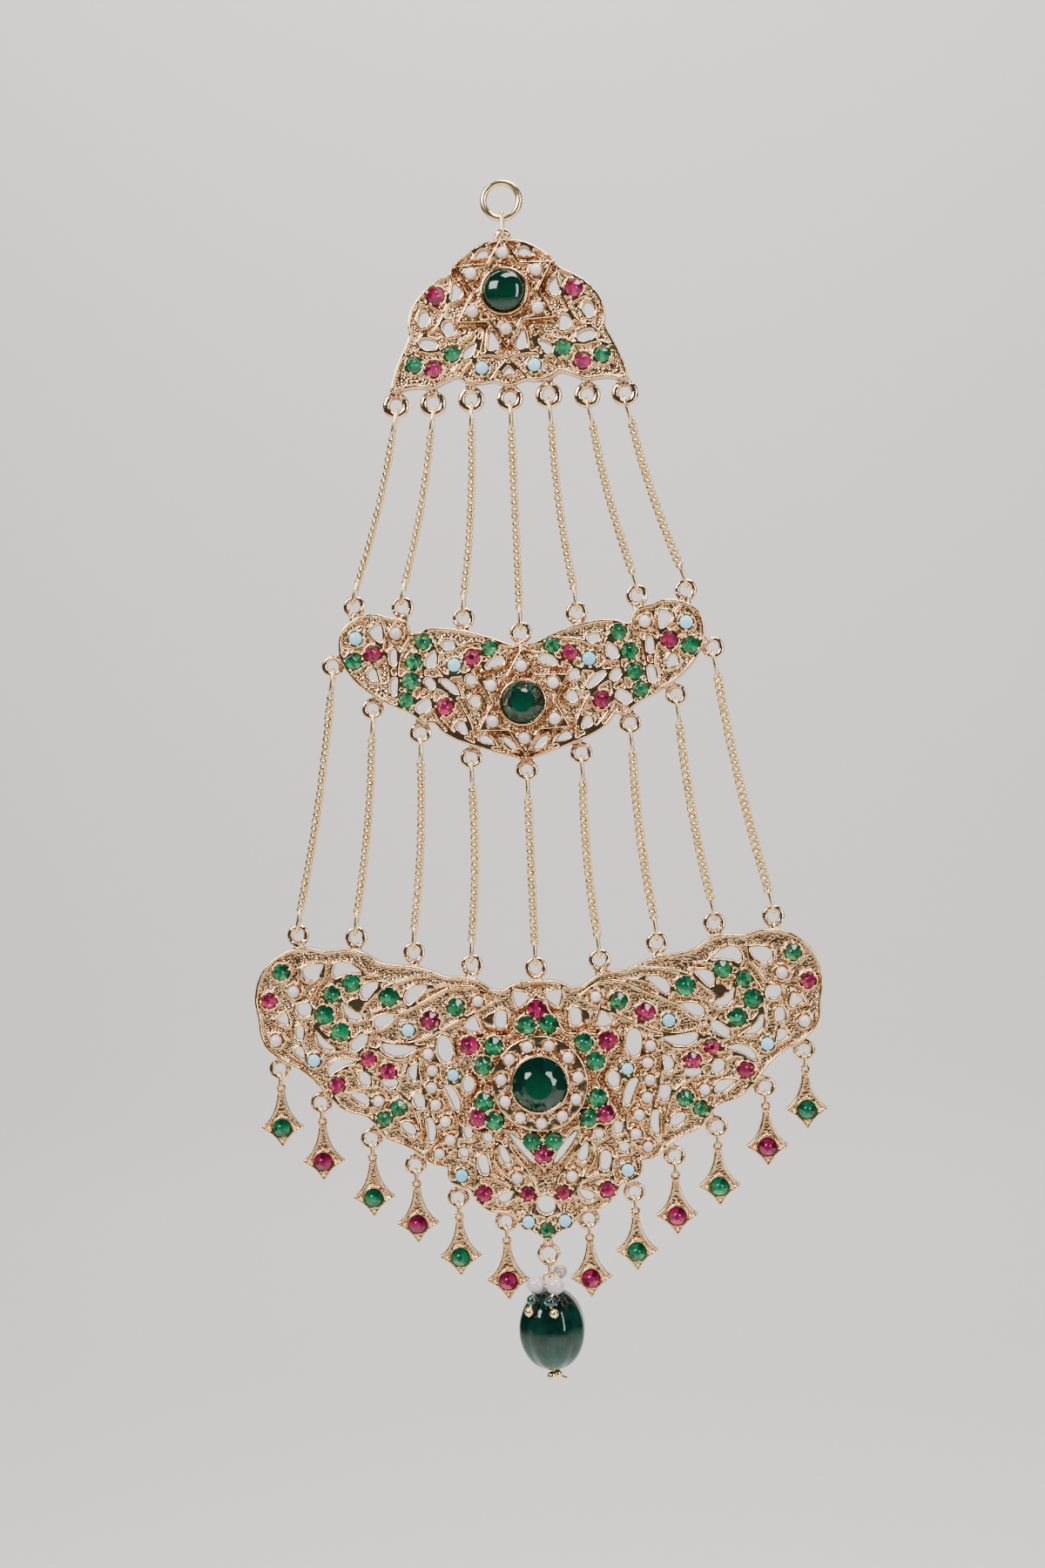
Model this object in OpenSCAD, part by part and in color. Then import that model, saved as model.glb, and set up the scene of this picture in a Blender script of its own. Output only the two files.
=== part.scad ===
// A jhoomar: three pierced gold panels that hang from each other on fine
// chains, with star drops along the lowest edge and a bead pendant at its tip.
// It hangs in the XZ plane with its stones facing -Y. The origin is where the
// hang ring rests on its pin, so the whole piece lies below it.

/* [Panels] */
// Width of the top panel
top_w = 32.8; // [30:0.2:36]
// Height of the top panel
top_h = 20.2; // [19:0.2:22]
// Width of the middle panel
mid_w = 50.6; // [48:0.2:54]
// Height of the middle panel
mid_h = 21.2; // [20:0.2:23]
// Width of the bottom panel
bottom_w = 78.4; // [75:0.2:84]
// Height of the bottom panel
bottom_h = 42.4; // [40:0.2:46]
// Distance from the middle of the top panel to that of the middle panel
top_to_mid = 56.3; // [50:0.5:64]
// Distance from the middle of the middle panel to that of the bottom panel
mid_to_bottom = 52.2; // [48:0.5:60]
// Thickness of the cast plates
plate_t = 1.2; // [1:0.05:1.5]
// Height of the raised rims on the plates
rim_h = 0.6; // [0.4:0.05:0.8]
// Width of the raised rims
rim_w = 0.45; // [0.35:0.05:0.55]
// Height of the star in the middle of each panel
star_h = 0.7; // [0.5:0.05:1]
// Width across the star of the top panel
top_star_w = 15.6; // [14.6:0.1:16.2]
// Width across the star of the middle panel
mid_star_w = 14.8; // [13.8:0.1:15.6]
// Width across the star of the bottom panel
bottom_star_w = 25; // [24:0.2:26]
// Height of the round boss that carries the pearls of the bottom panel
boss_h = 0.7; // [0.5:0.05:1.2]

/* [Stones] */
// Diameter of the cabochon in the top panel
top_stone_d = 5.6; // [5:0.1:5.8]
// Diameter of the cut stone in the middle panel
mid_stone_d = 5.5; // [4.9:0.1:5.7]
// Diameter of the cut stone in the bottom panel
bottom_stone_d = 7.2; // [6.4:0.1:7.4]
// Height of the bezels round the three large stones
bezel_h = 1.3; // [0.9:0.05:1.8]
// Wall of those bezels
bezel_wall = 0.4; // [0.3:0.05:0.5]
// How far the large stones stand out of their bezels
crown_h = 1.5; // [1:0.1:2]
// Diameter of a small emerald
emerald_d = 2.3; // [2:0.05:2.4]
// Diameter of a small ruby
ruby_d = 2.3; // [2:0.05:2.4]
// Diameter of a pearl set in a panel
pearl_d = 1.7; // [1.5:0.05:1.8]
// Diameter of a turquoise
turquoise_d = 1.85; // [1.6:0.05:2]
// How far the small stones stand out of their collets
small_crown_h = 0.75; // [0.5:0.05:1]
// Wall of the collets round the small stones
collet_wall = 0.32; // [0.25:0.01:0.4]
// Clearance between a stone and its seat
stone_gap = 0.08; // [0.06:0.01:0.1]

/* [Rings and chains] */
// Bore of the hang ring
ring_bore = 4; // [3.6:0.1:5]
// Wire of the hang ring
ring_wire = 0.95; // [0.8:0.05:1.1]
// Length of the bail between the ring's wire and the top panel's lug
bail_l = 1.8; // [1.7:0.1:3]
// Wire of the bail
bail_wire = 0.5; // [0.4:0.05:0.55]
// Width of the wall of the lug that the bail holds
bail_bar = 0.65; // [0.5:0.05:0.75]
// Height of the middle of the lug's hole above the top panel's edge
lug_rise = 0.35; // [0.2:0.05:0.8]
// Bore of the loops under the top panel
top_loop_bore = 1.7; // [1.6:0.05:2]
// Wire of the loops under the top panel
top_loop_wire = 1; // [0.8:0.05:1.1]
// Bore of every other loop
loop_bore = 1.6; // [1.5:0.05:1.9]
// Wire of every other loop
loop_wire = 0.75; // [0.6:0.05:0.85]
// Radius of the solder foot under each loop
foot_r = 0.7; // [0.6:0.02:0.74]
// Diameter of the chains
chain_d = 1.4; // [1.1:0.05:1.6]
// How far each chain bows towards the middle
chain_bow = 0.5; // [0:0.1:1]
// Length of a chain's end link between its two bends
end_link_l = 1.9; // [1.6:0.1:2.6]
// Wire of the end links
link_wire = 0.5; // [0.4:0.05:0.55]
// Clearance round a wire that passes through a link
link_gap = 0.15; // [0.1:0.01:0.2]

/* [Star drops] */
// Width of a star drop
drop_w = 6.2; // [5.6:0.1:6.3]
// Reach of a star drop above its stone
drop_up = 5; // [4.6:0.1:5.4]
// Reach of a star drop below its stone
drop_down = 2.9; // [2.6:0.1:3.2]
// Width of a star drop's neck
drop_neck = 0.9; // [0.8:0.05:1.1]
// Thickness of a star drop
drop_t = 0.9; // [0.8:0.05:1.1]
// Height of a star drop's raised edge
drop_rim_h = 0.35; // [0.25:0.05:0.5]
// Diameter of the stone in a star drop
drop_stone_d = 2.3; // [2:0.05:2.4]
// Bore of the eye on a star drop
drop_eye_bore = 0.65; // [0.6:0.05:0.9]
// Wire of that eye
drop_eye_wire = 0.35; // [0.3:0.05:0.4]
// Length of a drop's link between its two bends
drop_link_l = 0.9; // [0.85:0.05:1.4]
// Wire of a drop's link
drop_link_wire = 0.4; // [0.35:0.05:0.45]

/* [Pendant] */
// Bore of the loop at the tip of the bottom panel
tip_bore = 1.9; // [1.8:0.1:2.4]
// Wire of that loop
tip_wire = 0.7; // [0.6:0.05:0.8]
// Length of the pendant's link between its two bends
pendant_link_l = 1.2; // [1.1:0.1:2]
// Wire of the pendant's link
pendant_link_wire = 0.4; // [0.35:0.05:0.45]
// Bore of the pendant's eye
eye_bore = 1.4; // [1.3:0.1:1.7]
// Wire of the pendant
eye_wire = 0.4; // [0.35:0.05:0.45]
// Largest diameter of the fluted bead
bead_d = 9; // [8.4:0.1:9.4]
// Length of the fluted bead
bead_l = 11.4; // [10.6:0.2:12.6]
// How deep the flutes of the bead are
flute_depth = 0.35; // [0.1:0.05:0.5]
// Number of flutes round the bead
flutes = 8; // [6:1:10]
// Bore of the fluted bead
bead_bore = 0.8; // [0.7:0.05:1]
// Diameter of the pearls over the bead
strand_pearl_d = 2.5; // [2.2:0.05:2.55]
// Diameter of the seed beads under those pearls
seed_bead_d = 1.5; // [1.3:0.05:1.6]
// Diameter of the gold beads
gold_bead_d = 1.3; // [1.1:0.05:1.35]
// Wire of the short strands over the bead
strand_wire = 0.3; // [0.25:0.05:0.35]
// Clearance between a strand and the bead threaded on it
thread_gap = 0.08; // [0.05:0.01:0.1]

/* [Hidden] */

GOLD = [0.87, 0.68, 0.42];
EMERALD = [0.03, 0.36, 0.2];
RUBY = [0.55, 0.05, 0.25];
PEARL = [0.9, 0.87, 0.88];
TURQUOISE = [0.58, 0.82, 0.93];
DARK_GREEN = [0.02, 0.14, 0.1];
$fn = 32;

// The swell of an opening along its length, as the powers of its two ends
LEAF = [0.9, 0.9];
DROP = [1, 0.5];
OVAL = [0.5, 0.5];
SLOT = [0.25, 0.25];
WEDGE = [0.9, 0.15];

// Half of each panel's edge, from the middle of its top to its lowest point:
// [share of half the width, share of the height above the panel's middle]
top_edge = [
    [0, 0.366], [0.07, 0.364], [0.195, 0.342], [0.31, 0.287], [0.415, 0.223], [0.457, 0.163],
    [0.555, 0.119], [0.665, 0.064], [0.75, -0.01], [0.81, -0.089], [0.835, -0.178],
    [0.83, -0.257], [0.872, -0.337], [0.927, -0.426], [0.97, -0.515], [1, -0.614],
    [0.94, -0.634], [0.866, -0.619], [0.774, -0.614], [0.67, -0.624], [0.598, -0.609],
    [0.488, -0.569], [0.427, -0.559], [0.366, -0.594], [0.287, -0.609], [0.2, -0.609],
    [0.134, -0.599], [0.073, -0.619], [0, -0.634]];
mid_edge = [
    [0, 0.377], [0.055, 0.382], [0.13, 0.42], [0.221, 0.458], [0.332, 0.495], [0.435, 0.514],
    [0.522, 0.509], [0.593, 0.481], [0.609, 0.538], [0.648, 0.58], [0.711, 0.594],
    [0.775, 0.623], [0.838, 0.623], [0.901, 0.599], [0.957, 0.557], [0.988, 0.5], [1, 0.425],
    [0.992, 0.34], [0.964, 0.264], [0.921, 0.189], [0.858, 0.118], [0.791, 0.061],
    [0.719, 0.014], [0.648, -0.024], [0.593, -0.066], [0.545, -0.113], [0.494, -0.108],
    [0.458, -0.16], [0.403, -0.208], [0.34, -0.245], [0.261, -0.278], [0.174, -0.316],
    [0.087, -0.349], [0, -0.377]];
bottom_edge = [
    [0, 0.33], [0.056, 0.33], [0.102, 0.314], [0.128, 0.302], [0.163, 0.311], [0.204, 0.337],
    [0.253, 0.353], [0.311, 0.354], [0.362, 0.373], [0.421, 0.392], [0.5, 0.401],
    [0.556, 0.413], [0.602, 0.443], [0.663, 0.458], [0.735, 0.453], [0.791, 0.467],
    [0.857, 0.465], [0.906, 0.446], [0.944, 0.42], [0.977, 0.382], [0.995, 0.335],
    [1, 0.288], [0.99, 0.236], [0.987, 0.193], [0.974, 0.151], [0.949, 0.123], [0.903, 0.092],
    [0.849, 0.066], [0.804, 0.031], [0.768, -0.009], [0.719, -0.059], [0.668, -0.083],
    [0.617, -0.097], [0.587, -0.132], [0.551, -0.17], [0.495, -0.191], [0.439, -0.222],
    [0.403, -0.252], [0.365, -0.264], [0.344, -0.267], [0.344, -0.295], [0.329, -0.323],
    [0.296, -0.337], [0.268, -0.342], [0.255, -0.37], [0.224, -0.401], [0.189, -0.42],
    [0.128, -0.425], [0.102, -0.462], [0.061, -0.481], [0.023, -0.505], [0, -0.533]];

// The openings cut through one half of each panel:
// [x and z of one end, x and z of the other end, width, bend, swell], where x, width
// and bend are shares of half the panel's width and z is a share of its height
top_gaps = [
    [0.24, 0.25, 0.125, 0.28, 0.066, -0.013, DROP],
    [0.435, 0.095, 0.435, -0.035, 0.085, -0.03, DROP],
    [0.68, -0.09, 0.71, -0.2, 0.09, 0, OVAL],
    [0.49, -0.165, 0.465, -0.27, 0.09, 0.015, SLOT],
    [0.74, -0.3, 0.585, -0.33, 0.09, 0.005, OVAL],
    [0.27, -0.33, 0.37, -0.42, 0.07, 0, DROP],
    [0.14, -0.245, 0.115, -0.385, 0.095, -0.005, WEDGE]];
mid_gaps = [
    [0.76, 0.435, 0.8, 0.54, 0.075, 0, WEDGE],
    [0.79, 0.185, 0.83, 0.26, 0.052, -0.009, DROP],
    [0.698, 0.385, 0.7, 0.28, 0.038, 0.002, SLOT],
    [0.692, 0.2, 0.705, 0.085, 0.038, 0.007, SLOT],
    [0.43, 0.4, 0.363, 0.398, 0.043, 0.005, SLOT],
    [0.47, 0.36, 0.512, 0.257, 0.06, -0.002, DROP],
    [0.2, 0.235, 0.095, 0.285, 0.045, -0.009, DROP],
    [0.31, 0.175, 0.255, 0.148, 0.043, -0.006, SLOT],
    [0.455, 0.175, 0.35, 0.073, 0.038, -0.006, LEAF],
    [0.53, 0.18, 0.485, 0.12, 0.043, -0.003, SLOT],
    [0.585, -0.018, 0.51, 0.04, 0.058, 0.007, SLOT],
    [0.313, -0.185, 0.36, -0.115, 0.047, -0.002, DROP],
    [0.295, 0.02, 0.235, 0.03, 0.06, 0.002, LEAF],
    [0.172, -0.26, 0.25, -0.216, 0.038, 0.006, DROP],
    [0.126, -0.216, 0.047, -0.305, 0.033, -0.002, LEAF]];
bottom_gaps = [
    [0.75, 0.407, 0.826, 0.377, 0.052, -0.007, DROP],
    [0.615, 0.375, 0.72, 0.38, 0.047, 0.017, WEDGE],
    [0.852, 0.264, 0.8, 0.265, 0.042, 0.002, SLOT],
    [0.925, 0.23, 0.884, 0.237, 0.042, 0, WEDGE],
    [0.841, 0.21, 0.845, 0.166, 0.028, 0.003, SLOT],
    [0.832, 0.102, 0.857, 0.136, 0.034, 0, WEDGE],
    [0.785, 0.19, 0.72, 0.131, 0.024, 0.018, LEAF],
    [0.664, 0.128, 0.607, 0.17, 0.032, 0, SLOT],
    [0.555, 0.34, 0.616, 0.292, 0.038, 0.012, DROP],
    [0.688, 0.283, 0.62, 0.23, 0.028, 0.019, DROP],
    [0.505, 0.235, 0.58, 0.203, 0.038, 0, DROP],
    [0.647, 0.085, 0.754, 0.048, 0.028, 0.02, DROP],
    [0.384, 0.324, 0.462, 0.272, 0.038, 0.013, DROP],
    [0.225, 0.22, 0.236, 0.173, 0.052, 0, WEDGE],
    [0.126, 0.235, 0.134, 0.178, 0.04, 0.002, SLOT],
    [0.069, 0.243, 0.054, 0.292, 0.058, 0, WEDGE],
    [0.338, 0.16, 0.33, 0.072, 0.056, -0.002, OVAL],
    [0.432, 0.127, 0.557, 0.132, 0.038, -0.015, DROP],
    [0.433, 0.073, 0.45, 0.02, 0.03, 0.009, DROP],
    [0.247, 0.026, 0.262, -0.026, 0.04, 0, OVAL],
    [0.335, 0, 0.296, -0.085, 0.027, -0.007, SLOT],
    [0.634, 0.05, 0.607, 0.01, 0.038, 0.003, OVAL],
    [0.561, 0.015, 0.505, 0.014, 0.026, 0.002, SLOT],
    [0.677, -0.02, 0.61, -0.047, 0.035, -0.004, DROP],
    [0.496, -0.12, 0.452, -0.155, 0.035, -0.002, OVAL],
    [0.439, -0.026, 0.424, -0.07, 0.036, 0.001, SLOT],
    [0.401, -0.105, 0.398, -0.183, 0.026, -0.008, SLOT],
    [0.262, -0.135, 0.262, -0.178, 0.026, 0.002, SLOT],
    [0.195, -0.16, 0.197, -0.19, 0.03, 0, SLOT],
    [0.28, -0.208, 0.283, -0.236, 0.03, 0, SLOT],
    [0.218, -0.231, 0.206, -0.294, 0.035, 0.004, SLOT],
    [0.15, -0.2, 0.127, -0.262, 0.028, 0.003, DROP],
    [0.115, -0.353, 0.167, -0.381, 0.031, -0.004, DROP],
    [0.123, -0.16, 0.029, -0.272, 0.023, -0.003, LEAF]];

// The openings on the middle line, in the same columns
top_middle_gaps = [[0, -0.5, 0, -0.548, 0.085, 0, WEDGE]];
mid_middle_gaps = [];
bottom_middle_gaps = [[0, -0.37, 0, -0.428, 0.064, 0, OVAL]];

// The raised leaf edges on one half of each panel: lists of
// [share of half the width, share of the height]
top_ridges = [
    [[0.45, 0.15], [0.442, 0.018], [0.495, -0.068], [0.545, -0.165], [0.62, -0.231], [0.72, -0.248]],
    [[0.766, -0.031], [0.678, -0.043], [0.59, -0.073], [0.53, -0.107]],
    [[0.216, -0.223], [0.334, -0.298], [0.488, -0.353], [0.643, -0.378], [0.753, -0.359],
        [0.87, -0.394]],
    [[0.216, -0.223], [0.275, -0.32], [0.386, -0.431], [0.46, -0.52]],
    [[0.194, -0.236], [0.217, -0.324], [0.247, -0.417]],
    [[0.387, -0.52], [0.247, -0.417], [0.122, -0.414], [0, -0.446]],
    [[0, -0.446], [0.078, -0.512], [0.152, -0.584]]];
mid_ridges = [
    [[0.871, 0.581], [0.8, 0.475], [0.749, 0.376], [0.719, 0.273], [0.719, 0.159], [0.745, 0.058]],
    [[0.584, 0.488], [0.638, 0.4], [0.67, 0.3], [0.68, 0.186], [0.668, 0.071], [0.631, 0.007]],
    [[0.462, 0.414], [0.521, 0.32], [0.539, 0.207], [0.553, 0.094], [0.597, 0.017]],
    [[0.454, 0.334], [0.356, 0.375], [0.235, 0.403], [0.117, 0.386], [0, 0.352]],
    [[0.454, 0.334], [0.464, 0.255], [0.394, 0.189], [0.297, 0.213], [0.172, 0.292], [0, 0.344]],
    [[0.484, 0.131], [0.491, 0.029], [0.462, -0.08], [0.397, -0.169], [0.285, -0.248]],
    [[0.484, 0.131], [0.38, 0.058], [0.318, -0.059], [0.279, -0.174], [0.267, -0.26]]];
bottom_ridges = [
    [[0.555, 0.365], [0.616, 0.365], [0.678, 0.353], [0.729, 0.336], [0.766, 0.3], [0.785, 0.258],
        [0.78, 0.213], [0.749, 0.177], [0.705, 0.153], [0.661, 0.162], [0.622, 0.192]],
    [[0.744, 0.41], [0.747, 0.37], [0.771, 0.34], [0.786, 0.315], [0.806, 0.291], [0.85, 0.281]],
    [[0.625, 0.257], [0.586, 0.29], [0.546, 0.322], [0.496, 0.34], [0.433, 0.355], [0.371, 0.358]],
    [[0.59, 0.247], [0.533, 0.262], [0.464, 0.285], [0.407, 0.308], [0.313, 0.327]],
    [[0.602, 0.177], [0.505, 0.233], [0.394, 0.276], [0.314, 0.313], [0.222, 0.317], [0.146, 0.272]],
    [[0.602, 0.177], [0.543, 0.149], [0.483, 0.141], [0.42, 0.15], [0.325, 0.188], [0.229, 0.232],
        [0.146, 0.269]],
    [[0.623, 0.144], [0.638, 0.11], [0.618, 0.064], [0.569, 0.034], [0.517, 0.026], [0.472, 0.052],
        [0.459, 0.092]],
    [[0.623, 0.144], [0.576, 0.128], [0.541, 0.103], [0.49, 0.09], [0.449, 0.105]],
    [[0.71, -0.046], [0.738, -0.01], [0.75, 0.027], [0.723, 0.054], [0.679, 0.064], [0.647, 0.043],
        [0.636, 0.002]],
    [[0.633, -0.006], [0.607, -0.05], [0.589, -0.099], [0.554, -0.152]],
    [[0.608, 0.001], [0.553, 0.005], [0.497, -0.021], [0.454, -0.062], [0.432, -0.12],
        [0.428, -0.182]],
    [[0.431, 0.102], [0.423, 0.022], [0.404, -0.05], [0.383, -0.116], [0.375, -0.173],
        [0.422, -0.217]],
    [[0.366, 0.105], [0.349, 0.019], [0.327, -0.045], [0.299, -0.105], [0.292, -0.163],
        [0.317, -0.21], [0.363, -0.245]],
    [[0.312, 0.063], [0.282, 0.056], [0.278, 0.024], [0.305, -0.003], [0.347, 0.01]],
    [[0.248, -0.332], [0.218, -0.305], [0.17, -0.307], [0.126, -0.331], [0.104, -0.366],
        [0.108, -0.409]],
    [[0.166, -0.193], [0.179, -0.244], [0.153, -0.288], [0.111, -0.338], [0.079, -0.39],
        [0.066, -0.419]],
    [[0.139, -0.169], [0.11, -0.224], [0.069, -0.277], [0.039, -0.326], [0.032, -0.378],
        [0.051, -0.42]],
    [[0.103, -0.426], [0.048, -0.423], [0, -0.442]],
    [[0.314, -0.238], [0.259, -0.246], [0.235, -0.284], [0.248, -0.332]]];

// The small stones on one half of each panel:
// [share of half the width, share of the height, size as a share of its kind's diameter]
top_emerald_seats = [[0.789, -0.457, 0.94], [0.466, -0.393, 0.94]];
top_ruby_seats = [[0.58, 0.004, 1.03], [0.625, -0.49, 0.98]];
top_turquoise_seats = [[0.22, -0.503, 1]];
mid_emerald_seats = [[0.915, 0.318, 0.98], [0.533, 0.425, 0.93], [0.587, 0.3, 0.93],
    [0.611, 0.171, 0.98], [0.638, 0.05, 0.9], [0.171, 0.361, 0.88]];
mid_ruby_seats = [[0.809, 0.36, 0.98], [0.266, 0.308, 0.93], [0.427, -0.005, 0.98]];
mid_pearl_seats = [[0.677, 0.483, 1.05]];
mid_turquoise_seats = [[0.9, 0.466, 1.03], [0.367, 0.262, 1.03]];
bottom_emerald_seats = [[0.899, 0.389, 0.94], [0.652, 0.344, 1], [0.724, 0.311, 0.94],
    [0.753, 0.245, 1.08], [0.698, 0.186, 1.04], [0.521, 0.294, 1.08], [0.285, 0.254, 1],
    [0.503, -0.067, 0.94], [0.556, -0.101, 0.88]];
bottom_ruby_seats = [[0.946, 0.297, 0.88], [0.378, 0.214, 1.05], [0.603, 0.096, 0.88],
    [0.535, 0.053, 0.94], [0.718, 0.016, 0.94], [0.217, -0.354, 0.94], [0.062, -0.358, 0.83]];
bottom_pearl_seats = [[0.857, 0.325, 1.04], [0.927, 0.168, 1.04], [0.207, 0.271, 0.93],
    [0.572, -0.041, 0.96], [0.39, 0.106, 0.95], [0.378, 0.052, 0.95], [0.383, -0.004, 0.95],
    [0.371, -0.06, 0.95], [0.34, -0.115, 0.95], [0.326, -0.176, 0.95], [0.366, -0.219, 0.9],
    [0.096, -0.306, 0.97]];
bottom_turquoise_seats = [[0.796, 0.098, 0.98], [0.458, 0.185, 0.98], [0.306, 0.034, 0.9],
    [0.292, -0.293, 0.98], [0.064, -0.45, 0.96]];
bottom_middle_emerald = [0, -0.476, 0.82];
// Plain bosses among the leaves of the bottom panel, in the same columns
bottom_bosses = [[0.641, 0.27, 0.95], [0.159, 0.207, 0.9]];

// The arms of the star on the bottom panel:
// [turn from straight up, reach of the arm, distance of its ruby], as shares of half the star
star_arms = [[0, 1, 0.81], [60, 1.01, 0.88], [117, 0.9, 0.785], [180, 0.98, 0.785]];
star_waist = 0.63;
star_emerald_r = 0.65;
star_emerald_turn = 10.5;
boss_pearls = 11;
// Share of half the star at which the petals of the two smaller stars narrow and hold a pearl
petal_waist = 0.6;
petal_pearl_r = 0.665;
// Size of those pearls, and of the ones round the large stone of the bottom panel
petal_pearl_size = 1.03;
boss_pearl_size = 0.97;

// The loops on one half of each panel:
// [share of half the width, share of the height, turn away from straight up]
top_lower_loops = [[0, -0.614, 180], [0.327, -0.609, 180], [0.65, -0.622, 180], [0.965, -0.622, 180]];
mid_upper_loops = [[0, 0.377, 0], [0.309, 0.488, 0], [0.641, 0.58, 0], [0.905, 0.6, 0]];
mid_lower_loops = [[0, -0.362, 180], [0.275, -0.272, 157], [0.568, -0.09, 176],
    [0.794, 0.07, 148], [0.985, 0.34, 125]];
bottom_upper_loops = [[0, 0.33, 0], [0.225, 0.347, 0], [0.428, 0.395, 0], [0.631, 0.452, 0],
    [0.837, 0.467, 0]];
bottom_lower_loops = [[0.128, -0.416, 155], [0.296, -0.333, 160], [0.44, -0.222, 158],
    [0.587, -0.134, 150], [0.76, -0.011, 150], [0.896, 0.1, 140]];
tip_foot = -0.52;

// The beads of the strands over the fluted bead:
// [x, y, z of the pearl, of the seed bead and of the gold bead] below the pendant's eye
strands = [
    [[-1.8, -2.3, -0.3], [-2.35, -3.45, -2.1], [-2.75, -3.85, -3.6]],
    [[0.85, -2.9, -0.4], [0.25, -4.1, -2.3], [0.65, -4.65, -3.75]]];
back_pearl = [1.3, 1.9, 0.5];

sink = 0.06;
plate_front = plate_t / 2;
star_front = plate_front + star_h;
boss_front = star_front + boss_h;
loop_step = 0.1;
bead_rest = 0.05;
chain_lap = 0.3;
pearl_margin = 0.42;
star_overlap = 0.3;

ring_z = -ring_bore / 2;
ring_low = ring_z - (ring_bore + ring_wire) / 2;
bail_in = max(ring_wire, norm([plate_t, bail_bar])) / 2 + link_gap;
lug_hole_d = bail_in + bail_wire + link_gap - bail_bar / 2;
lug_z = top_edge[0][1] * top_h + lug_rise;
top_z = ring_low - bail_l - lug_z - (lug_hole_d + bail_bar) / 2;
mid_z = top_z - top_to_mid;
bottom_z = mid_z - mid_to_bottom;

tip_z = bottom_z + tip_foot * bottom_h - loop_reach(tip_bore, tip_wire);
tip_low = tip_z - (tip_bore + tip_wire) / 2;
eye_top = tip_low - pendant_link_l;
eye_z = eye_top - (eye_bore + eye_wire) / 2;
bead_top = eye_z - eye_bore / 2 - eye_wire - bead_rest;
bead_bottom = bead_top - bead_l;

drop_eye_z = -(loop_bore + loop_wire) / 2 - drop_link_l - (drop_eye_bore + drop_eye_wire) / 2;
drop_stone_z = drop_eye_z - drop_eye_bore / 2 - drop_eye_wire * 0.4 - drop_up;
drop_front = drop_t / 2;
drop_rim_w = 0.35;

// Distance from a loop's foot to its middle
function loop_reach(bore, wire) = bore / 2 + wire + loop_step;

// Both halves of a table of shares, as places on the panel, with its third column kept
function pairs(rows, w, h) = [for (r = rows, s = r[0] == 0 ? [1] : [-1, 1])
    [s * r[0] * w / 2, r[1] * h, r[2]]];

// A half edge as places, with its mirror image after it
function whole_edge(rows, w, h) = concat(
    [for (r = rows) [r[0] * w / 2, r[1] * h]],
    [for (i = [len(rows) - 2:-1:1]) [-rows[i][0] * w / 2, rows[i][1] * h]]);

// A point on the smooth curve through b and c, between a and d
function blend(a, b, c, d, t) = 0.5 * (2 * b + (c - a) * t + (2 * a - 5 * b + 4 * c - d) * t * t
    + (3 * b - a - 3 * c + d) * t * t * t);
function clamped(p, i) = p[max(0, min(len(p) - 1, i))];
function smooth_line(p, n) = [for (i = [0:len(p) - 2], k = [0:n - 1])
        blend(clamped(p, i - 1), p[i], p[i + 1], clamped(p, i + 2), k / n), p[len(p) - 1]];
function smooth_ring(p, n) = [for (i = [0:len(p) - 1], k = [0:n - 1])
    blend(p[(i + len(p) - 1) % len(p)], p[i], p[(i + 1) % len(p)], p[(i + 2) % len(p)], k / n)];

// The swell at share t along an opening, 1 at its widest
function swell(t, s) = pow(t, s[0]) * pow(1 - t, s[1])
    / (pow(s[0] / (s[0] + s[1]), s[0]) * pow(s[1] / (s[0] + s[1]), s[1]));

// The outline of one opening, from a row of a table of openings
function opening(r, w, h, n = 5) = let (
        a = [r[0] * w / 2, r[1] * h],
        d = [r[2] * w / 2, r[3] * h] - a,
        side = [-d[1], d[0]] / norm(d))
    [for (k = [0:2 * n - 1]) let (
            j = k <= n ? k : 2 * n - k,
            t = (1 - cos(180 * j / n)) / 2,
            out = (k <= n ? 1 : -1) * r[4] * w / 4 * swell(t, r[6]))
        a + d * t + side * (r[5] * w / 2 * 4 * t * (1 - t) + out)];

// A point beside a line, square to it
function beside(p, i, r) = let (d = clamped(p, i + 1) - clamped(p, i - 1))
    p[i] + r * [-d[1], d[0]] / norm(d);

// Points of one ring of a stone or bead
function ring_points(n, r, z, turn = 0) = [for (k = [0:n - 1])
    [r * cos(turn + 360 * k / n), r * sin(turn + 360 * k / n), z]];

// A curve from a to c that bends towards b
function bowed(a, b, c, n) = [for (k = [0:n - 1]) let (t = k / n)
    (1 - t) * (1 - t) * a + 2 * t * (1 - t) * b + t * t * c];

module slab(back, front) {
    translate([0, -back, 0])
        rotate([90, 0, 0])
            linear_extrude(front - back)
                children();
}

module both_sides() {
    children();
    mirror([1, 0])
        children();
}

// A wire ring in the XZ plane
module wire_ring(bore, wire) {
    rotate([90, 0, 0])
        rotate_extrude()
            translate([(bore + wire) / 2, 0])
                circle(d = wire, $fn = 24);
}

// A straight wire between two points
module wire_between(a, b, d) {
    v = b - a;
    translate(a)
        rotate([0, acos(v[2] / norm(v)), atan2(v[1], v[0])])
            cylinder(d = d, h = norm(v), $fn = 24);
}

// A long link that hangs on a wire at the origin and holds another one below it
module long_link(length, inside, wire) {
    r = inside + wire / 2;
    rotate([0, 90, 0]) {
        rotate([0, 0, 90])
            rotate_extrude(angle = 180)
                translate([r, 0])
                    circle(d = wire, $fn = 24);
        translate([length, 0, 0])
            rotate([0, 0, -90])
                rotate_extrude(angle = 180)
                    translate([r, 0])
                        circle(d = wire, $fn = 24);
        for (y = [-r, r])
            translate([0, y, 0])
                rotate([0, 90, 0])
                    cylinder(d = wire, h = length, $fn = 24);
    }
}

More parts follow.
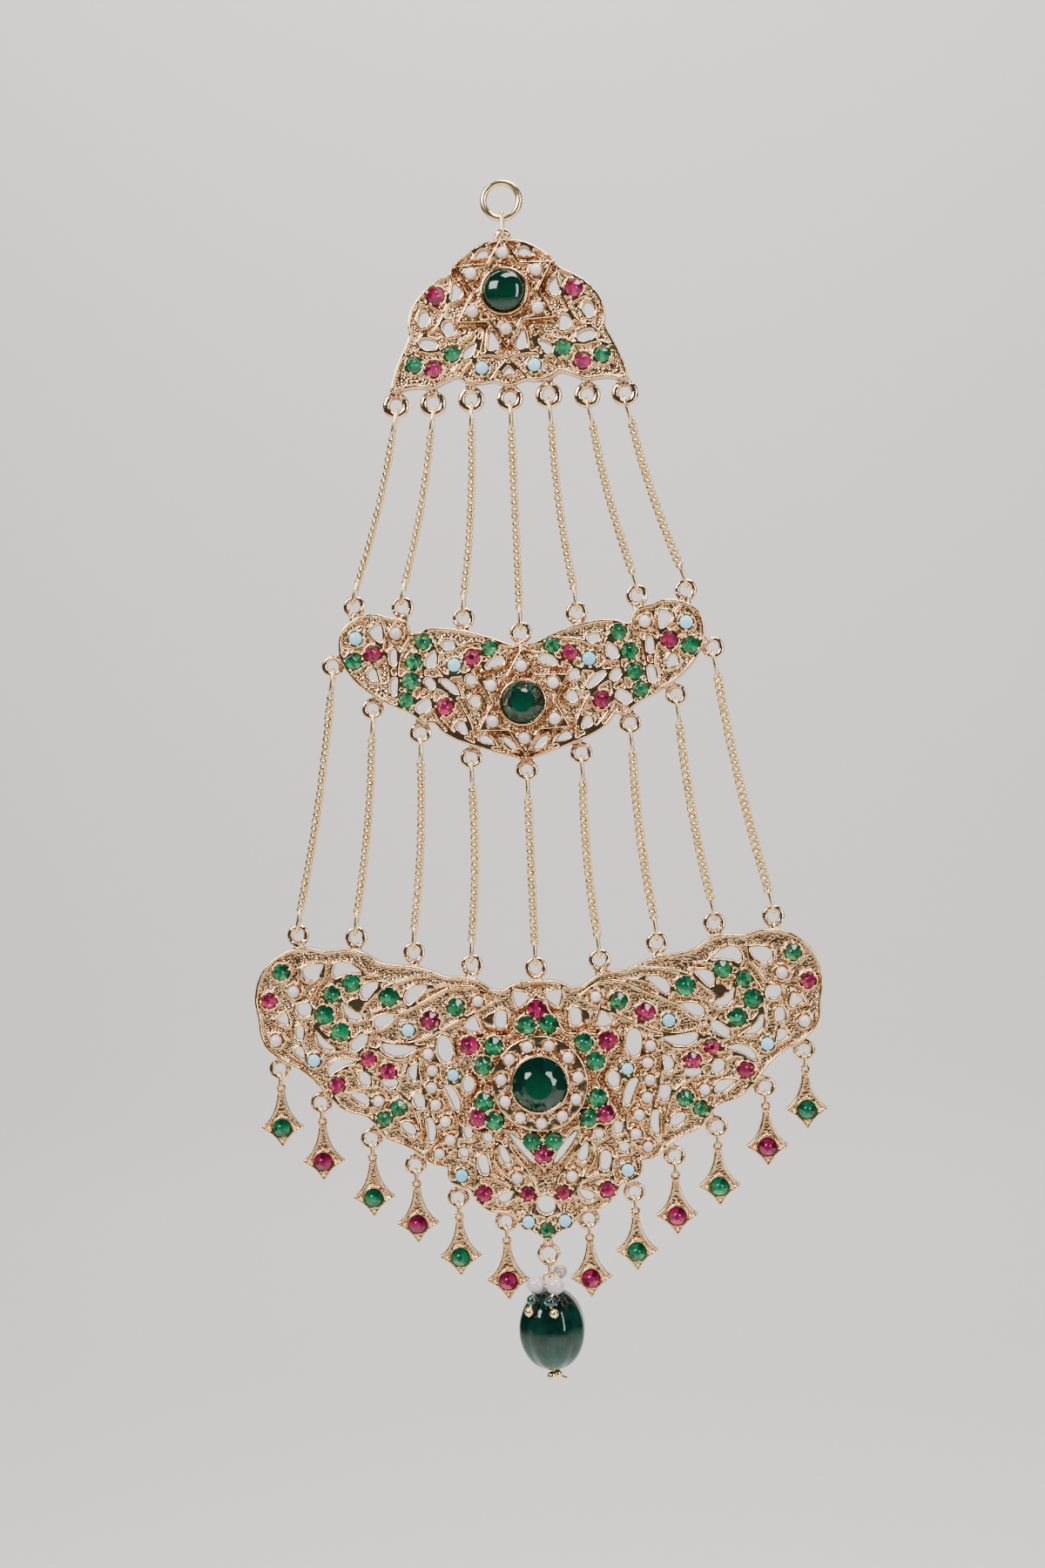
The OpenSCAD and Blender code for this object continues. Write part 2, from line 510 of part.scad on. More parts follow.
// The flat shape of a panel with its openings
module panel_shape(edge, gaps, middle_gaps, w, h) {
    offset(delta = sink)
        offset(delta = -sink)
            difference() {
                polygon(smooth_ring(whole_edge(edge, w, h), 2));
                panel_openings(gaps, middle_gaps, w, h);
            }
}

module panel_openings(gaps, middle_gaps, w, h) {
    both_sides()
        for (r = gaps)
            polygon(opening(r, w, h));
    for (r = middle_gaps)
        polygon(opening(r, w, h));
}

// One raised leaf edge, thinner at its ends
module ridge(points) {
    p = smooth_line(points, 2);
    n = len(p) - 1;
    polygon(concat(
        [for (i = [0:n]) beside(p, i, rim_w / 2 * (0.6 + 0.4 * sin(180 * i / n)))],
        [for (i = [n:-1:0]) beside(p, i, -rim_w / 2 * (0.6 + 0.4 * sin(180 * i / n)))]));
}

// The raised lines of a panel: its rim, the edges of its openings and its leaves
module panel_lines(edge, gaps, middle_gaps, ridges, w, h) {
    intersection() {
        offset(delta = -sink)
            polygon(smooth_ring(whole_edge(edge, w, h), 2));
        union() {
            difference() {
                polygon(smooth_ring(whole_edge(edge, w, h), 2));
                offset(delta = -rim_w)
                    polygon(smooth_ring(whole_edge(edge, w, h), 2));
            }
            offset(delta = rim_w)
                panel_openings(gaps, middle_gaps, w, h);
            both_sides()
                for (points = ridges)
                    ridge([for (p = points) [p[0] * w / 2, p[1] * h]]);
        }
    }
}

// Round collets, for rows of [x, z, size]
module collets(seats, d) {
    for (s = seats)
        translate([s[0], s[1]])
            circle(d = d * s[2] + 2 * (stone_gap + collet_wall), $fn = 12);
}

// The seats of a row of stones, as [x, z, radius]
function seats(rows, d) = [for (s = rows) [s[0], s[1], d * s[2] / 2 + stone_gap]];

// A layer with round seats cut through it, made as upright strips that join
module layer(back, front, w, h, holes = []) {
    n = 2 * ceil(w / 30);
    step = (w + 8) / n;
    for (i = [0:n - 1]) {
        from = (i - n / 2) * step;
        near = [for (s = holes) if (s[0] > from - 2 && s[0] < from + step + 2) s];
        difference() {
            slab(back, front)
                offset(delta = 0)
                    intersection() {
                        union()
                            children();
                        translate([from, -h])
                            square([step, 2 * h]);
                    }
            for (s = near)
                translate([s[0], 1 - back, s[1]])
                    rotate([90, 0, 0])
                        cylinder(r = s[2], h = front - back + 2);
        }
    }
}

// The solder feet of a row of loops, and the loops themselves
module feet(loops, w, h) {
    for (r = pairs(loops, w, h))
        translate([r[0], r[1]])
            circle(r = foot_r, $fn = 12);
}

function loop_centres(loops, w, h, bore, wire) = [for (r = pairs(loops, w, h))
    [r[0], r[1]] + loop_reach(bore, wire) * [(r[0] < 0 ? -1 : 1) * sin(r[2]), cos(r[2])]];

module loop_row(loops, w, h, bore, wire) {
    for (c = loop_centres(loops, w, h, bore, wire))
        translate([c[0], 0, c[1]])
            wire_ring(bore, wire);
}

// A star with arms of [turn, reach], narrow between them
module star_shape(arms, waist) {
    n = len(arms);
    polygon([for (i = [0:n - 1]) let (a = arms[i], b = arms[(i + 1) % n],
            turn = b[0] > a[0] ? b[0] : b[0] + 360)
        each [a[1] * [sin(a[0]), cos(a[0])],
            waist * [sin((a[0] + turn) / 2), cos((a[0] + turn) / 2)]]]);
}

function even_arms(w) = [for (k = [0:5]) [60 * k, w / 2]];
function bottom_arms() = concat(
    [for (r = star_arms) [r[0], r[1] * bottom_star_w / 2]],
    [for (i = [len(star_arms) - 2:-1:1]) [360 - star_arms[i][0], star_arms[i][1] * bottom_star_w / 2]]);

// Stones round the star of the bottom panel, as rows of [x, z, size]
function all_star_arms() = concat(star_arms,
    [for (i = [1:len(star_arms) - 2]) [-star_arms[i][0], star_arms[i][1], star_arms[i][2]]]);
function star_emeralds() = [for (a = all_star_arms(), s = [-1, 1])
    let (turn = a[0] + s * star_emerald_turn, r = star_emerald_r * bottom_star_w / 2)
        [r * sin(turn), r * cos(turn), 1.05]];
function star_rubies() = [for (a = all_star_arms()) let (r = a[2] * bottom_star_w / 2)
    [r * sin(a[0]), r * cos(a[0]), 1.05]];
function pearl_circle() = (bottom_stone_d + pearl_d * boss_pearl_size) / 2 + stone_gap + bezel_wall
    + pearl_margin;
function boss_pearl_places() = [for (k = [0:boss_pearls - 1])
    let (turn = 180 + 360 * k / boss_pearls)
        [pearl_circle() * sin(turn), pearl_circle() * cos(turn), boss_pearl_size]];
function petal_pearls(w) = [for (k = [0:5])
    [petal_pearl_r * w / 2 * sin(60 * k), petal_pearl_r * w / 2 * cos(60 * k), petal_pearl_size]];

// The bezel of a large stone, from a face at the given depth
module bezel(d, face) {
    difference() {
        translate([0, -face + sink, 0])
            rotate([90, 0, 0])
                cylinder(d = d + 2 * (stone_gap + bezel_wall), h = bezel_h + sink);
        translate([0, -face, 0])
            rotate([90, 0, 0])
                cylinder(d = d + 2 * stone_gap, h = bezel_h + 1);
    }
}

// The raised edge of a star and the collets on it, round an opening in its middle
module star_relief(arms, waist, middle_d) {
    offset(delta = sink)
        offset(delta = -sink)
            difference() {
                union() {
                    difference() {
                        offset(delta = -sink)
                            star_shape(arms, waist);
                        offset(delta = -rim_w)
                            star_shape(arms, waist);
                    }
                    children();
                }
                circle(d = middle_d);
            }
}

// A six-petalled star with a pearl seat in each petal and a bezel in its middle
module small_star(w, stone_d) {
    waist = petal_waist * w / 2;
    slab(plate_front - 3 * sink, star_front)
        offset(delta = 0)
            star_shape(even_arms(w), waist);
    layer(star_front - 2 * sink, star_front + rim_h, w, w, seats(petal_pearls(w), pearl_d))
        star_relief(even_arms(w), waist, stone_d + 2 * stone_gap + bezel_wall)
            collets(petal_pearls(w), pearl_d);
    bezel(stone_d, star_front);
}

// A cut stone on its seat: a girdle, a crown of kites and a table
module cut_stone(d, girdle, crown, table, n) {
    points = concat(ring_points(n, d / 2, 0), ring_points(n, d / 2, girdle),
        ring_points(n, d / 2 * table, girdle + crown, 180 / n));
    faces = concat(
        [[for (k = [0:n - 1]) k], [for (k = [n - 1:-1:0]) 2 * n + k]],
        [for (k = [0:n - 1]) let (j = (k + 1) % n) each [
            [k, n + k, n + j, j],
            [n + k, 2 * n + k, n + j],
            [n + j, 2 * n + k, 2 * n + j]]]);
    polyhedron(points, faces);
}

// A large cut stone, with a second row of facets round its table
module large_cut_stone(d, girdle, crown, table, n) {
    points = concat(ring_points(n, d / 2, 0), ring_points(n, d / 2, girdle),
        ring_points(n, d / 2 * (table + 1) / 2, girdle + crown * 0.62, 180 / n),
        ring_points(n, d / 2 * table, girdle + crown));
    faces = concat(
        [[for (k = [0:n - 1]) k], [for (k = [n - 1:-1:0]) 3 * n + k]],
        [for (k = [0:n - 1]) let (j = (k + 1) % n) each [
            [k, n + k, n + j, j],
            [n + k, 2 * n + k, n + j],
            [n + j, 2 * n + k, 2 * n + j],
            [2 * n + k, 3 * n + j, 2 * n + j],
            [2 * n + k, 3 * n + k, 3 * n + j]]]);
    polyhedron(points, faces);
}

// A domed stone: a short cylinder under a shallow cap
module cabochon(d, girdle, crown) {
    r = (d * d / 4 + crown * crown) / (2 * crown);
    cylinder(d = d, h = girdle, $fn = 48);
    intersection() {
        translate([0, 0, girdle + crown - r])
            sphere(r = r, $fn = 48);
        translate([0, 0, girdle])
            cylinder(d = d, h = crown + 1, $fn = 48);
    }
}

// Small stones of one kind, on faces at the given depth
module cut_stones(seats, d, face) {
    for (s = seats)
        translate([s[0], -face - stone_gap, s[1]])
            rotate([90, 0, 0])
                cut_stone(d * s[2], rim_h, small_crown_h, 0.55, 8);
}

module turquoises(seats, z) {
    color(TURQUOISE)
        for (s = seats)
            translate([s[0], -plate_front - stone_gap, z + s[1]])
                rotate([90, 0, 0])
                    cabochon(turquoise_d * s[2], rim_h, small_crown_h * 0.7);
}

module pearls(seats, face) {
    for (s = seats)
        translate([s[0], -face - stone_gap - pearl_d * s[2] / 2, s[1]])
            sphere(d = pearl_d * s[2], $fn = 32);
}

module hang_ring() {
    color(GOLD)
        translate([0, 0, ring_z])
            wire_ring(ring_bore, ring_wire);
}

module bail_link() {
    color(GOLD)
        translate([0, 0, ring_low])
            long_link(bail_l, bail_in, bail_wire);
}

module top_panel() {
    color(GOLD)
        translate([0, 0, top_z])
            difference() {
                union() {
                    layer(-plate_front, plate_front, top_w, top_h) {
                        panel_shape(top_edge, top_gaps, top_middle_gaps, top_w, top_h);
                        feet(top_lower_loops, top_w, top_h);
                        translate([0, lug_z])
                            circle(d = lug_hole_d + 2 * bail_bar, $fn = 24);
                    }
                    layer(plate_front - 2 * sink, plate_front + rim_h, top_w, top_h, concat(
                            seats(pairs(top_emerald_seats, top_w, top_h), emerald_d),
                            seats(pairs(top_ruby_seats, top_w, top_h), ruby_d),
                            seats(pairs(top_turquoise_seats, top_w, top_h), turquoise_d)))
                        top_relief();
                    small_star(top_star_w, top_stone_d);
                    loop_row(top_lower_loops, top_w, top_h, top_loop_bore, top_loop_wire);
                }
                translate([0, 0, lug_z])
                    rotate([90, 0, 0])
                        cylinder(d = lug_hole_d, h = 8, center = true);
            }
}

module top_relief() {
    emeralds = pairs(top_emerald_seats, top_w, top_h);
    rubies = pairs(top_ruby_seats, top_w, top_h);
    blues = pairs(top_turquoise_seats, top_w, top_h);
    offset(delta = sink)
        offset(delta = -sink)
            difference() {
                union() {
                    panel_lines(top_edge, top_gaps, top_middle_gaps, top_ridges, top_w, top_h);
                    collets(emeralds, emerald_d);
                    collets(rubies, ruby_d);
                    collets(blues, turquoise_d);
                }
                offset(delta = sink)
                    panel_openings(top_gaps, top_middle_gaps, top_w, top_h);
                offset(delta = -star_overlap)
                    star_shape(even_arms(top_star_w), petal_waist * top_star_w / 2);
            }
}

module top_centre_stone() {
    color(EMERALD)
        translate([0, -star_front - stone_gap, top_z])
            rotate([90, 0, 0])
                cabochon(top_stone_d, bezel_h, crown_h);
}

module top_pearls() {
    color(PEARL)
        translate([0, 0, top_z])
            pearls(petal_pearls(top_star_w), star_front);
}

module top_emeralds() {
    color(EMERALD)
        translate([0, 0, top_z])
            cut_stones(pairs(top_emerald_seats, top_w, top_h), emerald_d, plate_front);
}

module top_rubies() {
    color(RUBY)
        translate([0, 0, top_z])
            cut_stones(pairs(top_ruby_seats, top_w, top_h), ruby_d, plate_front);
}

module top_turquoises() {
    turquoises(pairs(top_turquoise_seats, top_w, top_h), top_z);
}

module mid_panel() {
    color(GOLD)
        translate([0, 0, mid_z]) {
            layer(-plate_front, plate_front, mid_w, mid_h) {
                panel_shape(mid_edge, mid_gaps, mid_middle_gaps, mid_w, mid_h);
                feet(mid_upper_loops, mid_w, mid_h);
                feet(mid_lower_loops, mid_w, mid_h);
            }
            layer(plate_front - 2 * sink, plate_front + rim_h, mid_w, mid_h, concat(
                    seats(pairs(mid_emerald_seats, mid_w, mid_h), emerald_d),
                    seats(pairs(mid_ruby_seats, mid_w, mid_h), ruby_d),
                    seats(pairs(mid_turquoise_seats, mid_w, mid_h), turquoise_d),
                    seats(pairs(mid_pearl_seats, mid_w, mid_h), pearl_d)))
                mid_relief();
            small_star(mid_star_w, mid_stone_d);
            loop_row(mid_upper_loops, mid_w, mid_h, loop_bore, loop_wire);
            loop_row(mid_lower_loops, mid_w, mid_h, loop_bore, loop_wire);
        }
}

module mid_relief() {
    emeralds = pairs(mid_emerald_seats, mid_w, mid_h);
    rubies = pairs(mid_ruby_seats, mid_w, mid_h);
    blues = pairs(mid_turquoise_seats, mid_w, mid_h);
    whites = pairs(mid_pearl_seats, mid_w, mid_h);
    offset(delta = sink)
        offset(delta = -sink)
            difference() {
                union() {
                    panel_lines(mid_edge, mid_gaps, mid_middle_gaps, mid_ridges, mid_w, mid_h);
                    collets(emeralds, emerald_d);
                    collets(rubies, ruby_d);
                    collets(blues, turquoise_d);
                    collets(whites, pearl_d);
                }
                offset(delta = sink)
                    panel_openings(mid_gaps, mid_middle_gaps, mid_w, mid_h);
                offset(delta = -star_overlap)
                    star_shape(even_arms(mid_star_w), petal_waist * mid_star_w / 2);
            }
}

module mid_centre_stone() {
    color(EMERALD)
        translate([0, -star_front - stone_gap, mid_z])
            rotate([90, 0, 0])
                large_cut_stone(mid_stone_d, bezel_h, crown_h, 0.6, 16);
}

module mid_pearls() {
    color(PEARL)
        translate([0, 0, mid_z]) {
            pearls(petal_pearls(mid_star_w), star_front);
            pearls(pairs(mid_pearl_seats, mid_w, mid_h), plate_front);
        }
}

module mid_emeralds() {
    color(EMERALD)
        translate([0, 0, mid_z])
            cut_stones(pairs(mid_emerald_seats, mid_w, mid_h), emerald_d, plate_front);
}

module mid_rubies() {
    color(RUBY)
        translate([0, 0, mid_z])
            cut_stones(pairs(mid_ruby_seats, mid_w, mid_h), ruby_d, plate_front);
}

module mid_turquoises() {
    turquoises(pairs(mid_turquoise_seats, mid_w, mid_h), mid_z);
}

module bottom_panel() {
    color(GOLD)
        translate([0, 0, bottom_z]) {
            layer(-plate_front, plate_front, bottom_w, bottom_h) {
                panel_shape(bottom_edge, bottom_gaps, bottom_middle_gaps, bottom_w, bottom_h);
                feet(bottom_upper_loops, bottom_w, bottom_h);
                feet(bottom_lower_loops, bottom_w, bottom_h);
                feet([[0, tip_foot, 180]], bottom_w, bottom_h);
            }
            layer(plate_front - 2 * sink, plate_front + rim_h, bottom_w, bottom_h, concat(
                    seats(bottom_flat_emeralds(), emerald_d),
                    seats(pairs(bottom_ruby_seats, bottom_w, bottom_h), ruby_d),
                    seats(pairs(bottom_turquoise_seats, bottom_w, bottom_h), turquoise_d),
                    seats(pairs(bottom_pearl_seats, bottom_w, bottom_h), pearl_d)))
                bottom_relief();
            bottom_star();
            loop_row(bottom_upper_loops, bottom_w, bottom_h, loop_bore, loop_wire);
            loop_row(bottom_lower_loops, bottom_w, bottom_h, loop_bore, loop_wire);
            loop_row([[0, tip_foot, 180]], bottom_w, bottom_h, tip_bore, tip_wire);
        }
}

function bottom_flat_emeralds() = concat(pairs(bottom_emerald_seats, bottom_w, bottom_h),
    pairs([bottom_middle_emerald], bottom_w, bottom_h));

module bottom_relief() {
    emeralds = bottom_flat_emeralds();
    rubies = pairs(bottom_ruby_seats, bottom_w, bottom_h);
    blues = pairs(bottom_turquoise_seats, bottom_w, bottom_h);
    whites = pairs(bottom_pearl_seats, bottom_w, bottom_h);
    offset(delta = sink)
        offset(delta = -sink)
            difference() {
                union() {
                    panel_lines(bottom_edge, bottom_gaps, bottom_middle_gaps, bottom_ridges,
                        bottom_w, bottom_h);
                    collets(emeralds, emerald_d);
                    collets(rubies, ruby_d);
                    collets(blues, turquoise_d);
                    collets(whites, pearl_d);
                    collets(pairs(bottom_bosses, bottom_w, bottom_h), emerald_d - collet_wall * 2);
                }
                offset(delta = sink)
                    panel_openings(bottom_gaps, bottom_middle_gaps, bottom_w, bottom_h);
                offset(delta = -star_overlap)
                    star_shape(bottom_arms(), star_waist * bottom_star_w / 2);
            }
}

// The six-armed star of the bottom panel, its boss with a circle of pearls and its bezel
module bottom_star() {
    waist = star_waist * bottom_star_w / 2;
    slab(plate_front - 3 * sink, star_front)
        offset(delta = 0)
            difference() {
                star_shape(bottom_arms(), waist);
                offset(delta = 2 * sink)
                    panel_openings(bottom_gaps, [], bottom_w, bottom_h);
            }
    layer(star_front - 2 * sink, star_front + rim_h, bottom_star_w, bottom_star_w, concat(
            seats(star_emeralds(), emerald_d),
            seats(star_rubies(), ruby_d)))
        difference() {
            star_relief(bottom_arms(), waist, 2 * pearl_circle()) {
                collets(star_emeralds(), emerald_d);
                collets(star_rubies(), ruby_d);
            }
            offset(delta = 3 * sink)
                panel_openings(bottom_gaps, [], bottom_w, bottom_h);
        }
    boss_d = 2 * pearl_circle() + pearl_d * boss_pearl_size + 2 * (stone_gap + collet_wall);
    difference() {
        translate([0, sink - star_front, 0])
            rotate([90, 0, 0])
                cylinder(d = boss_d, h = sink + boss_h + rim_h, $fn = 64);
        for (s = boss_pearl_places())
            translate([s[0], -boss_front, s[1]])
                rotate([90, 0, 0])
                    cylinder(d = pearl_d * s[2] + 2 * stone_gap, h = rim_h + 1, $fn = 24);
        translate([0, -boss_front, 0])
            rotate([90, 0, 0])
                cylinder(d = bottom_stone_d + 2 * stone_gap, h = rim_h + 1, $fn = 64);
    }
    bezel(bottom_stone_d, boss_front);
}

module bottom_centre_stone() {
    color(EMERALD)
        translate([0, -boss_front - stone_gap, bottom_z])
            rotate([90, 0, 0])
                large_cut_stone(bottom_stone_d, bezel_h, crown_h, 0.6, 16);
}

module bottom_pearls() {
    color(PEARL)
        translate([0, 0, bottom_z]) {
            pearls(boss_pearl_places(), boss_front);
            pearls(pairs(bottom_pearl_seats, bottom_w, bottom_h), plate_front);
        }
}

module bottom_emeralds() {
    color(EMERALD)
        translate([0, 0, bottom_z]) {
            cut_stones(star_emeralds(), emerald_d, star_front);
            cut_stones(bottom_flat_emeralds(), emerald_d, plate_front);
        }
}

module bottom_rubies() {
    color(RUBY)
        translate([0, 0, bottom_z]) {
            cut_stones(star_rubies(), ruby_d, star_front);
            cut_stones(pairs(bottom_ruby_seats, bottom_w, bottom_h), ruby_d, plate_front);
        }
}

module bottom_turquoises() {
    turquoises(pairs(bottom_turquoise_seats, bottom_w, bottom_h), bottom_z);
}

// A chain between two loop wires, with a long link at each end
module chain(a, b, a_wire, b_wire) {
    d = (b - a) / norm(b - a);
    across = [d[2], 0, -d[0]];
    bow = (a[0] + b[0] > 0 ? 1 : -1) * (a[0] == b[0] ? 0 : chain_bow);
    start = a + d * (end_link_l - chain_lap);
    finish = b - d * (end_link_l - chain_lap);
    n = 8;
    rings = 5;
    path = [for (k = [0:rings - 1]) let (t = k / (rings - 1))
        start + (finish - start) * t + across * bow * 4 * t * (1 - t)];
    points = [for (p = path, q = ring_points(n, chain_d / 2, 0)) p + across * q[0] + [0, q[1], 0]];
    faces = concat(
        [[for (k = [0:n - 1]) k], [for (k = [n - 1:-1:0]) (rings - 1) * n + k]],
        [for (i = [0:rings - 2], k = [0:n - 1]) let (j = (k + 1) % n)
            [i * n + k, (i + 1) * n + k, (i + 1) * n + j, i * n + j]]);
    lean = atan2(d[0], -d[2]);
    polyhedron(points, faces);
    translate(a)
        rotate([0, -lean, 0])
            long_link(end_link_l, a_wire / 2 + link_gap, link_wire);
    translate(b)
        rotate([0, 180 - lean, 0])
            long_link(end_link_l, b_wire / 2 + link_gap, link_wire);
}

// Middle of a loop's lowest or highest wire, for loops counted from left to right
function spread(rows, w, h, bore, wire) = let (
        c = loop_centres(rows, w, h, bore, wire),
        n = (len(c) - 1) / 2)
    [for (k = [-n:n]) k == 0 ? c[0] : c[2 * abs(k) - (k < 0 ? 1 : 0)]];
function low_wire(c, z, bore, wire) = [c[0], 0, z + c[1] - (bore + wire) / 2];
function high_wire(c, z, bore, wire) = [c[0], 0, z + c[1] + (bore + wire) / 2];

module upper_chain(i) {
    tops = spread(top_lower_loops, top_w, top_h, top_loop_bore, top_loop_wire);
    ends = spread(mid_upper_loops, mid_w, mid_h, loop_bore, loop_wire);
    color(GOLD)
        chain(low_wire(tops[i], top_z, top_loop_bore, top_loop_wire),
            high_wire(ends[i], mid_z, loop_bore, loop_wire), top_loop_wire, loop_wire);
}

module lower_chain(i) {
    tops = spread(mid_lower_loops, mid_w, mid_h, loop_bore, loop_wire);
    ends = spread(bottom_upper_loops, bottom_w, bottom_h, loop_bore, loop_wire);
    color(GOLD)
        chain(low_wire(tops[i], mid_z, loop_bore, loop_wire),
            high_wire(ends[i], bottom_z, loop_bore, loop_wire), loop_wire, loop_wire);
}

// Middles of the loops that carry the drops, from left to right
function drop_places() = let (
        c = loop_centres(bottom_lower_loops, bottom_w, bottom_h, loop_bore, loop_wire),
        n = len(bottom_lower_loops))
    [for (k = [n - 1:-1:0]) c[2 * k], for (k = [0:n - 1]) c[2 * k + 1]];

module drop_shape() {
    tip = [drop_w / 2, 0];
    neck = [drop_neck / 2, drop_up];
    low = [0, -drop_down];
    waist = drop_stone_d / 2 + collet_wall;
    side = concat(
        bowed(neck, [waist * 0.5, waist], tip, 6),
        bowed(tip, [waist * 0.75, -waist * 0.5], low, 5));
    offset(r = 0.2, $fn = 12)
        offset(delta = -0.2)
            polygon(concat(side, [low], [for (i = [len(side) - 1:-1:0]) [-side[i][0], side[i][1]]]));
    circle(d = drop_stone_d + 2 * (stone_gap + collet_wall), $fn = 24);
}

// One cast star drop with a raised edge, a collet and an eye
module star_drop(i) {
    p = drop_places()[i];
    color(GOLD)
        translate([p[0], 0, bottom_z + p[1]]) {
            translate([0, 0, drop_stone_z]) {
                slab(-drop_front, drop_front)
                    offset(delta = 0)
                        drop_shape();
                slab(drop_front - sink, drop_front + drop_rim_h)
                    offset(delta = sink)
                        offset(delta = -sink)
                            difference() {
                                offset(delta = -sink)
                                    drop_shape();
                                difference() {
                                    offset(delta = -drop_rim_w)
                                        drop_shape();
                                    circle(d = drop_stone_d + 2 * (stone_gap + collet_wall), $fn = 24);
                                }
                                circle(d = drop_stone_d + 2 * stone_gap, $fn = 24);
                            }
            }
            translate([0, 0, drop_eye_z])
                wire_ring(drop_eye_bore, drop_eye_wire);
        }
}

module drop_links() {
    color(GOLD)
        for (p = drop_places())
            translate([p[0], 0, bottom_z + p[1] - (loop_bore + loop_wire) / 2])
                long_link(drop_link_l, loop_wire / 2 + link_gap, drop_link_wire);
}

// The stones of the drops, green on the outermost and every second one from it
module drop_stones(places) {
    for (p = places)
        translate([p[0], -drop_front - stone_gap, bottom_z + p[1] + drop_stone_z])
            rotate([90, 0, 0])
                cut_stone(drop_stone_d, drop_rim_h, small_crown_h, 0.55, 8);
}

function green_places() = let (p = drop_places(), n = len(p))
    [for (i = [0:n - 1]) if (min(i, n - 1 - i) % 2 == 0) p[i]];
function red_places() = let (p = drop_places(), n = len(p))
    [for (i = [0:n - 1]) if (min(i, n - 1 - i) % 2 == 1) p[i]];

module drop_emeralds() {
    color(EMERALD)
        drop_stones(green_places());
}

module drop_rubies() {
    color(RUBY)
        drop_stones(red_places());
}

module pendant_link() {
    inside = max(tip_wire, eye_wire) / 2 + link_gap;
    color(GOLD)
        translate([0, 0, tip_low])
            long_link(pendant_link_l, inside, pendant_link_wire);
}

// The strand through a row of beads, as the points where it enters and leaves each
function strand_ends(beads, sizes) = [for (i = [0:len(beads) - 1])
    let (d = len(beads) == 1 ? [0, 1, 0] : beads[min(i + 1, len(beads) - 1)] - beads[max(i - 1, 0)])
        each [beads[i] - d / norm(d) * sizes[i] / 2, beads[i] + d / norm(d) * sizes[i] / 2]];
bead_sizes = [strand_pearl_d, seed_bead_d, gold_bead_d];

// The pendant's eye, its stem through the bead, its short strands and the knot under the bead
module pendant_wires() {
    color(GOLD)
        translate([0, 0, eye_z]) {
            wire_ring(eye_bore, eye_wire);
            translate([0, 0, bead_bottom - eye_z - gold_bead_d])
                cylinder(d = eye_wire, h = eye_z - bead_bottom + gold_bead_d - eye_bore / 2, $fn = 24);
            for (s = strands)
                strand(concat([[sign(s[0][0]) * (eye_bore + eye_wire) / 2, 0, 0]],
                    strand_ends(s, bead_sizes)));
            strand(concat([[(eye_bore + eye_wire) / 2, 0.05, 0.1]],
                strand_ends([back_pearl], [strand_pearl_d])));
            knot();
        }
}

// A thin wire with flat ends along a row of points
module strand(points) {
    n = 6;
    m = len(points);
    rings = [for (i = [0:m - 1]) let (
            d = clamped(points, i + 1) - clamped(points, i - 1),
            t = d / norm(d),
            u = cross(t, [1, 0, 0]) / norm(cross(t, [1, 0, 0])),
            v = cross(t, u))
        each [for (q = ring_points(n, strand_wire / 2, 0)) points[i] + u * q[0] + v * q[1]]];
    faces = concat(
        [[for (k = [0:n - 1]) k], [for (k = [n - 1:-1:0]) (m - 1) * n + k]],
        [for (i = [0:m - 2], k = [0:n - 1]) let (j = (k + 1) % n) each [
            [i * n + k, (i + 1) * n + k, (i + 1) * n + j],
            [i * n + k, (i + 1) * n + j, i * n + j]]]);
    polyhedron(rings, faces);
}

// Two gold beads and the wire's tail under the fluted bead
module knot() {
    z = bead_bottom - eye_z - gold_bead_d * 0.6;
    translate([-gold_bead_d * 0.25, -gold_bead_d * 0.2, z])
        sphere(d = gold_bead_d, $fn = 24);
    translate([gold_bead_d * 0.4, 0, z + gold_bead_d * 0.15])
        sphere(d = gold_bead_d * 0.9, $fn = 24);
    wire_between([gold_bead_d * 0.4, 0, z], [gold_bead_d * 1.35, 0, z - gold_bead_d * 0.3], eye_wire);
}

// A round bead with a bore along the given direction
module drilled_bead(place, d, along) {
    bore = strand_wire + 2 * thread_gap;
    translate(place)
        rotate([0, acos(along[2] / norm(along)), atan2(along[1], along[0])])
            rotate_extrude()
                intersection() {
                    circle(d = d, $fn = 48);
                    translate([bore / 2, -d])
                        square([d, 2 * d]);
                }
}

module pendant_pearls() {
    color(PEARL)
        translate([0, 0, eye_z]) {
            for (s = strands)
                drilled_bead(s[0], strand_pearl_d, s[1] - s[0]);
            drilled_bead(back_pearl, strand_pearl_d * 0.8, [0, 1, 0]);
        }
}

module pendant_seed_beads() {
    color(DARK_GREEN)
        translate([0, 0, eye_z])
            for (s = strands)
                drilled_bead(s[1], seed_bead_d, s[2] - s[0]);
}

module pendant_gold_beads() {
    color(GOLD)
        translate([0, 0, eye_z])
            for (s = strands)
                drilled_bead(s[2], gold_bead_d, s[2] - s[1]);
}

